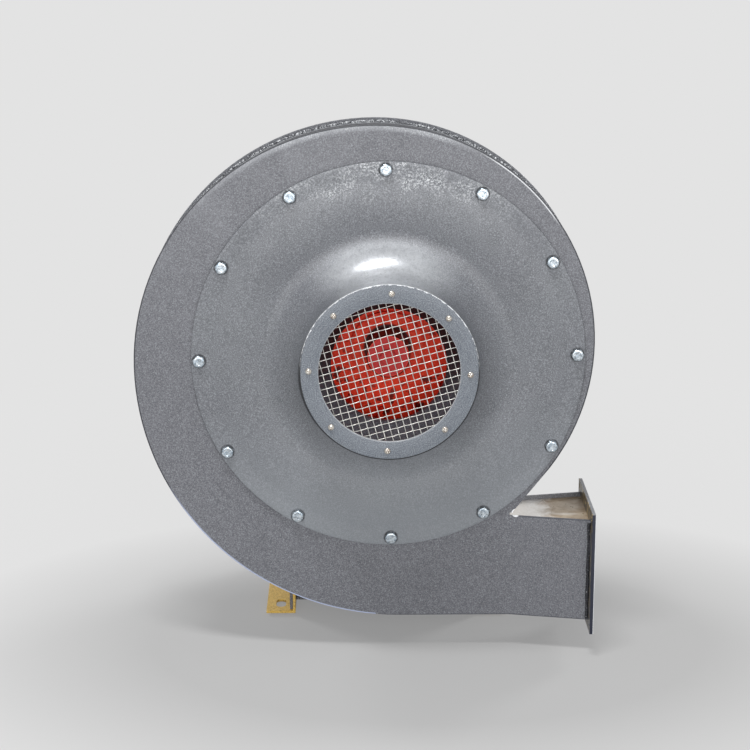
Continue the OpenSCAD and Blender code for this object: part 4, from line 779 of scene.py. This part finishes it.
def makeMesh():
    # each wire is y = mid + crimp cos(pi s / pitch), up at one crossing and down at the next
    w = wire
    ends = int(w["reach"] // w["pitch"]) + 1
    verts, faces, count = [], [], 0
    for family in (0, 1):
        axis = math.radians(w["turn"] + 90 * family)
        u = np.array([math.cos(axis), 0, math.sin(axis)])
        v = np.array([-math.sin(axis), 0, math.cos(axis)])
        for k in range(-ends, ends + 1):
            off = k * w["pitch"]
            if abs(off) > w["reach"] - w["edge"]:
                continue
            half = math.sqrt(w["reach"] ** 2 - off ** 2)
            s = np.append(np.arange(-half, half, w["pitch"] / w["stepsPerPitch"]), half)
            wave = (1 - 2 * family) * (-1) ** k * w["crimp"] * np.cos(np.pi * s / w["pitch"])
            rise = np.stack([np.zeros_like(s), w["midY"] + wave, np.zeros_like(s)], axis=1)
            path = s[:, None] * u + off * v + rise
            side1 = np.repeat(v[None, :], len(s), axis=0)
            side2 = np.repeat(np.array([[0.0, 1.0, 0.0]]), len(s), axis=0)
            rings = tube(path, w["radius"], w["sides"], side1, side2).reshape(-1, 3)
            verts.append(rings)
            faces.append(gridFaces(len(s), w["sides"], False, True, count))
            caps = np.arange(w["sides"])
            for first in (0, (len(s) - 1) * w["sides"]):
                fan = count + first + np.stack([np.zeros(4, int), caps[1:5], caps[2:6]], axis=1)
                faces.append(fan if first == 0 else fan[:, ::-1])
            count += len(rings)
    quads = np.concatenate([f for f in faces if f.shape[1] == 4])
    fans = np.concatenate([f for f in faces if f.shape[1] == 3])
    piece = putMesh("wovenWireMesh", np.concatenate(verts) * mm, [quads, fans], wireZinc, "casing", 80)
    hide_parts("intake_mesh")


# hexagon bolts round the cover, corners turned nearly round; a level is (depth below the top, radius limit)
bolts = {"across": 12.8, "head": 5.2, "circle": 215.0, "count": 12, "turn": 0.8, "spinTo": 1.05, "faceY": 70.6,
         "shankR": 4.0, "shank": 15.0, "sides": 72,
         "levels": [(None, 99.0), (1.6, 99.0), (1.1, 7.0), (0.6, 6.55), (0.15, 6.1), (0.0, 5.7), (0.0, 4.0),
                    (0.25, 3.7), (0.3, 2.0), (0.3, 0.01)]}


def boltShape():
    # head radius is the smaller of the hexagon's across / 2 / cos(angle to the flat) and the chamfer's cone
    b, n = bolts, bolts["sides"]
    a = np.arange(n) * 2 * np.pi / n
    hexR = b["across"] / 2 / np.cos((a + np.pi / 6) % (np.pi / 3) - np.pi / 6)
    rows = []
    for drop, limit in b["levels"]:
        r = np.minimum(hexR, limit)
        y = 0.0 if drop is None else drop - b["head"]
        rows.append(np.stack([r * np.cos(a), np.full(n, y), r * np.sin(a)], axis=1))
    head = np.stack(rows)
    shank = turned([(0.01, b["shank"]), (b["shankR"] - 0.7, b["shank"]), (b["shankR"], b["shank"] - 0.7),
                    (b["shankR"], 0)], 24)
    return [head, shank]


def placeRound(grids, circle, count, turn, spin):
    # copies of each grid on a circle about the shaft, each spun about its own axis by its own angle
    verts, quads, n = [], [], 0
    for i in range(count):
        angle = math.radians(turn + 360.0 * i / count)
        ca, sa = math.cos(angle), math.sin(angle)
        cs, ss = math.cos(spin[i]), math.sin(spin[i])
        for grid in grids:
            x, y, z = grid[..., 0], grid[..., 1], grid[..., 2]
            x, z = x * cs - z * ss + circle, x * ss + z * cs
            p = np.stack([x * ca - z * sa, y, x * sa + z * ca], axis=-1)
            verts.append(p.reshape(-1, 3))
            quads.append(gridFaces(grid.shape[0], grid.shape[1], False, True, n))
            n += p.shape[0] * p.shape[1]
    return np.concatenate(verts), np.concatenate(quads)


def outward(name):
    # faces of a closed or capped piece turned to point outwards
    mesh = bpy.data.objects[name].data
    shape = bmesh.new()
    shape.from_mesh(mesh)
    bmesh.ops.recalc_face_normals(shape, faces=shape.faces)
    shape.to_mesh(mesh)
    shape.free()


def makeBolts():
    dice = np.random.default_rng(7)
    spin = dice.uniform(0, bolts["spinTo"], bolts["count"])
    verts, quads = placeRound(boltShape(), bolts["circle"], bolts["count"], 90 + bolts["turn"], spin)
    verts[:, 1] += bolts["faceY"]
    piece = putMesh("zincHexBolts", verts * mm, [quads], brightZinc, "casing")
    outward("zincHexBolts")
    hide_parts("cover_bolts")


# pan-head machine screws with a cross recess round the ring
screws = {"headR": 3.6, "headH": 2.2, "dome": 2.6, "domeShare": 0.98, "armHalf": 0.42, "armR": 2.15,
          "armDepth": 1.2, "armFade": 2.3, "circle": 178.6, "count": 8, "turn": -1.5, "spinTo": 1.5,
          "shankR": 2.0, "shank": 14.9, "sides": 64}


def screwShape():
    # dome y = -headH sqrt(1 - domeShare (r / headR)^dome), sunk where the point lies in one of the cross's arms
    s = screws
    r = np.concatenate([np.linspace(0.02, 0.75, 14), np.linspace(0.8, 1.0, 6)]) * s["headR"]
    a = np.arange(s["sides"]) * 2 * np.pi / s["sides"]
    rr, aa = np.meshgrid(r, a, indexing="ij")
    x, z = rr * np.cos(aa), rr * np.sin(aa)
    dome = -s["headH"] * (1 - (rr / s["headR"]) ** s["dome"] * s["domeShare"]) ** 0.5
    arm = np.minimum(np.abs(x), np.abs(z)) < s["armHalf"]
    sunk = arm & (rr < s["armR"])
    floor = np.maximum(dome, -s["headH"]) + s["armDepth"] * (1 - (rr / s["armFade"]) ** 2)
    head = np.stack([x, np.where(sunk, floor, dome), z], axis=-1)
    foot = turned([(s["headR"], -0.2), (s["headR"], 0.0), (s["shankR"], 0.0), (s["shankR"], s["shank"]),
                   (0.02, s["shank"])], s["sides"])
    return [np.concatenate([head, foot])]


def makeScrews():
    dice = np.random.default_rng(11)
    spin = dice.uniform(0, screws["spinTo"], screws["count"])
    verts, quads = placeRound(screwShape(), screws["circle"] / 2, screws["count"], 90 + screws["turn"], spin)
    piece = putMesh("crossHeadScrews", verts * mm, [quads], screwZinc, "casing")
    outward("crossHeadScrews")
    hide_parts("ring_screws")


makeCover()
makeRing()
makeMesh()
makeBolts()
makeScrews()
print("intake made")


# weld beads that hold the wrapper between the side plates, rippled like stacked coins
bead = {"ripple": 0.45, "rippleMm": 3.4, "slow": 0.9, "slowPoints": 21, "least": 0.6, "most": 0.9, "sides": 8,
        "pointMm": 0.85, "inset": 4.4, "airIn": 0.6, "arcPoints": 420, "flangeX": 231.6,
        "flangeZ": (-311.0, -193.0), "flangeIn": 0.3}


def makeBead(name, y, seed, path2, size=1.7, material=weldBead):
    # radius = size + ripple |sin(pi s / rippleMm)| + slow noise, along a path of (x, z) at the place y
    s = np.concatenate([[0], np.cumsum(np.hypot(*np.diff(path2, axis=0).T))])
    even = np.arange(0, s[-1], bead["pointMm"])
    x, z = np.interp(even, s, path2[:, 0]), np.interp(even, s, path2[:, 1])
    dice = np.random.default_rng(seed)
    span = bead["slowPoints"]
    slow = np.convolve(dice.normal(0, 1, len(even) + span - 1), np.ones(span) / span, mode="valid")
    radius = size + bead["ripple"] * np.abs(np.sin(np.pi * even / bead["rippleMm"])) + bead["slow"] * slow
    radius = np.clip(radius, bead["least"], size + bead["most"])
    path = np.stack([x, np.full_like(x, y), z], axis=1)
    tangent = np.gradient(path, axis=0)
    tangent /= np.linalg.norm(tangent, axis=1)[:, None]
    side2 = np.repeat(np.array([[0.0, 1.0, 0.0]]), len(x), axis=0)
    side1 = np.cross(side2, tangent)
    rings = tube(path, radius, bead["sides"], side1, side2)
    verts = rings.reshape(-1, 3)
    quads = gridFaces(len(x), bead["sides"], False, True)
    caps = np.arange(1, bead["sides"] - 1)
    last = (len(x) - 1) * bead["sides"]
    fans = np.concatenate([np.stack([np.zeros_like(caps), caps + 1, caps], axis=1),
                           last + np.stack([np.zeros_like(caps), caps, caps + 1], axis=1)])
    piece = putMesh(name, verts * mm, [quads, fans], material, "casing", 60)
    outward(name)


scrollWeld = scrollPath(bead["inset"], count=bead["arcPoints"])
flangeWeld = np.array([[bead["flangeX"], z] for z in bead["flangeZ"]])
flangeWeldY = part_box("front_side_plate")[0][1] / mm + bead["flangeIn"]
makeBead("rearWeldBead", volute["airBackY"] - bead["airIn"], 23, scrollWeld)
makeBead("frontWeldBead", volute["airFrontY"] + bead["airIn"], 24, scrollWeld)
makeBead("flangeWeldBead", flangeWeldY, 25, flangeWeld, 1.6, slagBead)
print("weld beads made")

# sheet parts with their cut edges eased
sheetParts = {"front_side_plate": ("frontSidePlate", 0.5), "rear_side_plate": ("rearSidePlate", 0.5),
              "outlet_flange": ("outletFlangeBar", 0.4), "left_foot_rail": ("leftFootRail", 0.4),
              "right_foot_rail": ("rightFootRail", 0.4), "stand_left_cheek": ("standLeftCheek", 0.5),
              "stand_right_cheek": ("standRightCheek", 0.5), "stand_front_panel": ("standFrontPanel", 0.4),
              "stand_rear_panel": ("standRearPanel", 0.4), "stand_motor_plate": ("standMotorPlate", 0.5)}
slotOf = {part["node"]: part["material_slot"] for part in frame["record"]["subparts"]}
for nodeName, (pieceName, ease) in sheetParts.items():
    finish = ownFinish.get(nodeName, slotFinish[slotOf[nodeName]])
    piece = easedCopy(nodeName, pieceName, ease, finish)
print("sheet parts eased")


# plain studio: pale floor, a soft light overhead, a fill from the front, two behind and an even sky
studio = {"floorZ": -354.0, "floorHalf": 30.0, "floorMid": "#c5c5c5", "floorFar": "#e3e3e3", "litShare": 0.8,
          "poolPlace": (-0.1, -0.29, 0.0), "poolScale": (2.0, 2.6, 0.0), "poolBand": (0.66, 1.25),
          "farFrom": (0.0, 0.2, 0.0), "farBand": (0.35, 1.3), "farLeast": 0.42, "sky": 0.23}
# each lamp's power in watts, its size, where it stands and where it points, in metres
lamps = {"overheadSoftbox": (200.0, (2.0, 0.8), (-0.75, -1.6, 5.2), (0.0, 0.05, 0.02)),
         "frontFill": (59.0, (3.2, 1.7), (0.1, -2.9, 0.58), (0.0, 0.1, 0.0)),
         "rearLeftSoftbox": (45.0, (0.8, 0.9), (-2.3, 2.3, 1.2), (0.0, 0.25, -0.05)),
         "rearRightSoftbox": (45.0, (0.8, 0.9), (2.3, 2.3, 1.2), (0.0, 0.25, -0.05))}


def areaLight(name, power, size, place, aim):
    data = bpy.data.lights.new(name, "AREA")
    data.shape = "RECTANGLE"
    data.energy = power
    data.size, data.size_y = size
    lamp = addObject(name, data)
    back = np.array(place) - np.array(aim)
    back /= np.linalg.norm(back)
    right = np.cross([0.0, 0.0, 1.0], back)
    right /= np.linalg.norm(right)
    matrix = np.eye(4)
    matrix[:3, 0], matrix[:3, 1], matrix[:3, 2], matrix[:3, 3] = right, np.cross(back, right), back, place
    lamp.matrix_world = matrix.T.tolist()


def seenDirectly(tree):
    # 1 for what the camera sees straight, in a mirror or through glass, 0 for the light that falls
    ray = addNode(tree, "ShaderNodeLightPath").outputs
    direct = sums(tree, "MAXIMUM", ray["Is Camera Ray"], ray["Is Glossy Ray"])
    return sums(tree, "MAXIMUM", direct, ray["Is Transmission Ray"])


def makeFloor():
    # one large sheet; far from the blower the camera sees it as an even pale tone
    made, tree, place = startMaterial("paleStudioFloor")
    # painted shadow: the floor's tone darker in a pool round and under the blower, paler far off
    scaled = addNode(tree, "ShaderNodeMapping", {
        "Vector": place, "Location": studio["poolPlace"], "Scale": studio["poolScale"]})
    off = addNode(tree, "ShaderNodeVectorMath", {0: scaled.outputs[0]}, operation="LENGTH").outputs["Value"]
    tone = twoTone(tree, band(tree, off, studio["poolBand"]), studio["floorMid"], studio["floorFar"])
    litTone = blendColour(tree, studio["litShare"], (0.0, 0.0, 0.0, 1.0), tone)
    lit = addNode(tree, "ShaderNodeBsdfDiffuse", {"Color": litTone})
    even = addNode(tree, "ShaderNodeEmission", {"Color": tone, "Strength": 1.0})
    far = band(tree, awayFrom(tree, place, studio["farFrom"]), studio["farBand"], studio["farLeast"], 1.0)
    mixed = addNode(tree, "ShaderNodeMixShader", {
        0: product(tree, far, seenDirectly(tree)), 1: lit.outputs[0], 2: even.outputs[0]})
    addNode(tree, "ShaderNodeOutputMaterial", {"Surface": mixed.outputs[0]})
    half, z = studio["floorHalf"], studio["floorZ"] * mm
    mesh = bpy.data.meshes.new("studioFloor")
    mesh.from_pydata([(-half, -half, z), (half, -half, z), (half, half, z), (-half, half, z)], [], [(0, 1, 2, 3)])
    mesh.materials.append(made)
    floor = addObject("studioFloor", mesh)


def makeSky():
    # even white light on the blower; what the camera and the gloss see is the pale backdrop
    world = bpy.data.worlds.new("studioSky")
    bpy.context.scene.world = world
    world.use_nodes = True
    tree = world.node_tree
    tree.nodes.clear()
    light = addNode(tree, "ShaderNodeBackground", {"Color": (1.0, 1.0, 1.0, 1.0), "Strength": studio["sky"]})
    seenTone = addNode(tree, "ShaderNodeBackground", {"Color": toLinear(studio["floorFar"]), "Strength": 1.0})
    mixed = addNode(tree, "ShaderNodeMixShader", {
        0: seenDirectly(tree), 1: light.outputs[0], 2: seenTone.outputs[0]})
    addNode(tree, "ShaderNodeOutputWorld", {"Surface": mixed.outputs[0]})


for lampName, row in lamps.items():
    areaLight(lampName, *row)
makeFloor()
makeSky()
print("studio made")
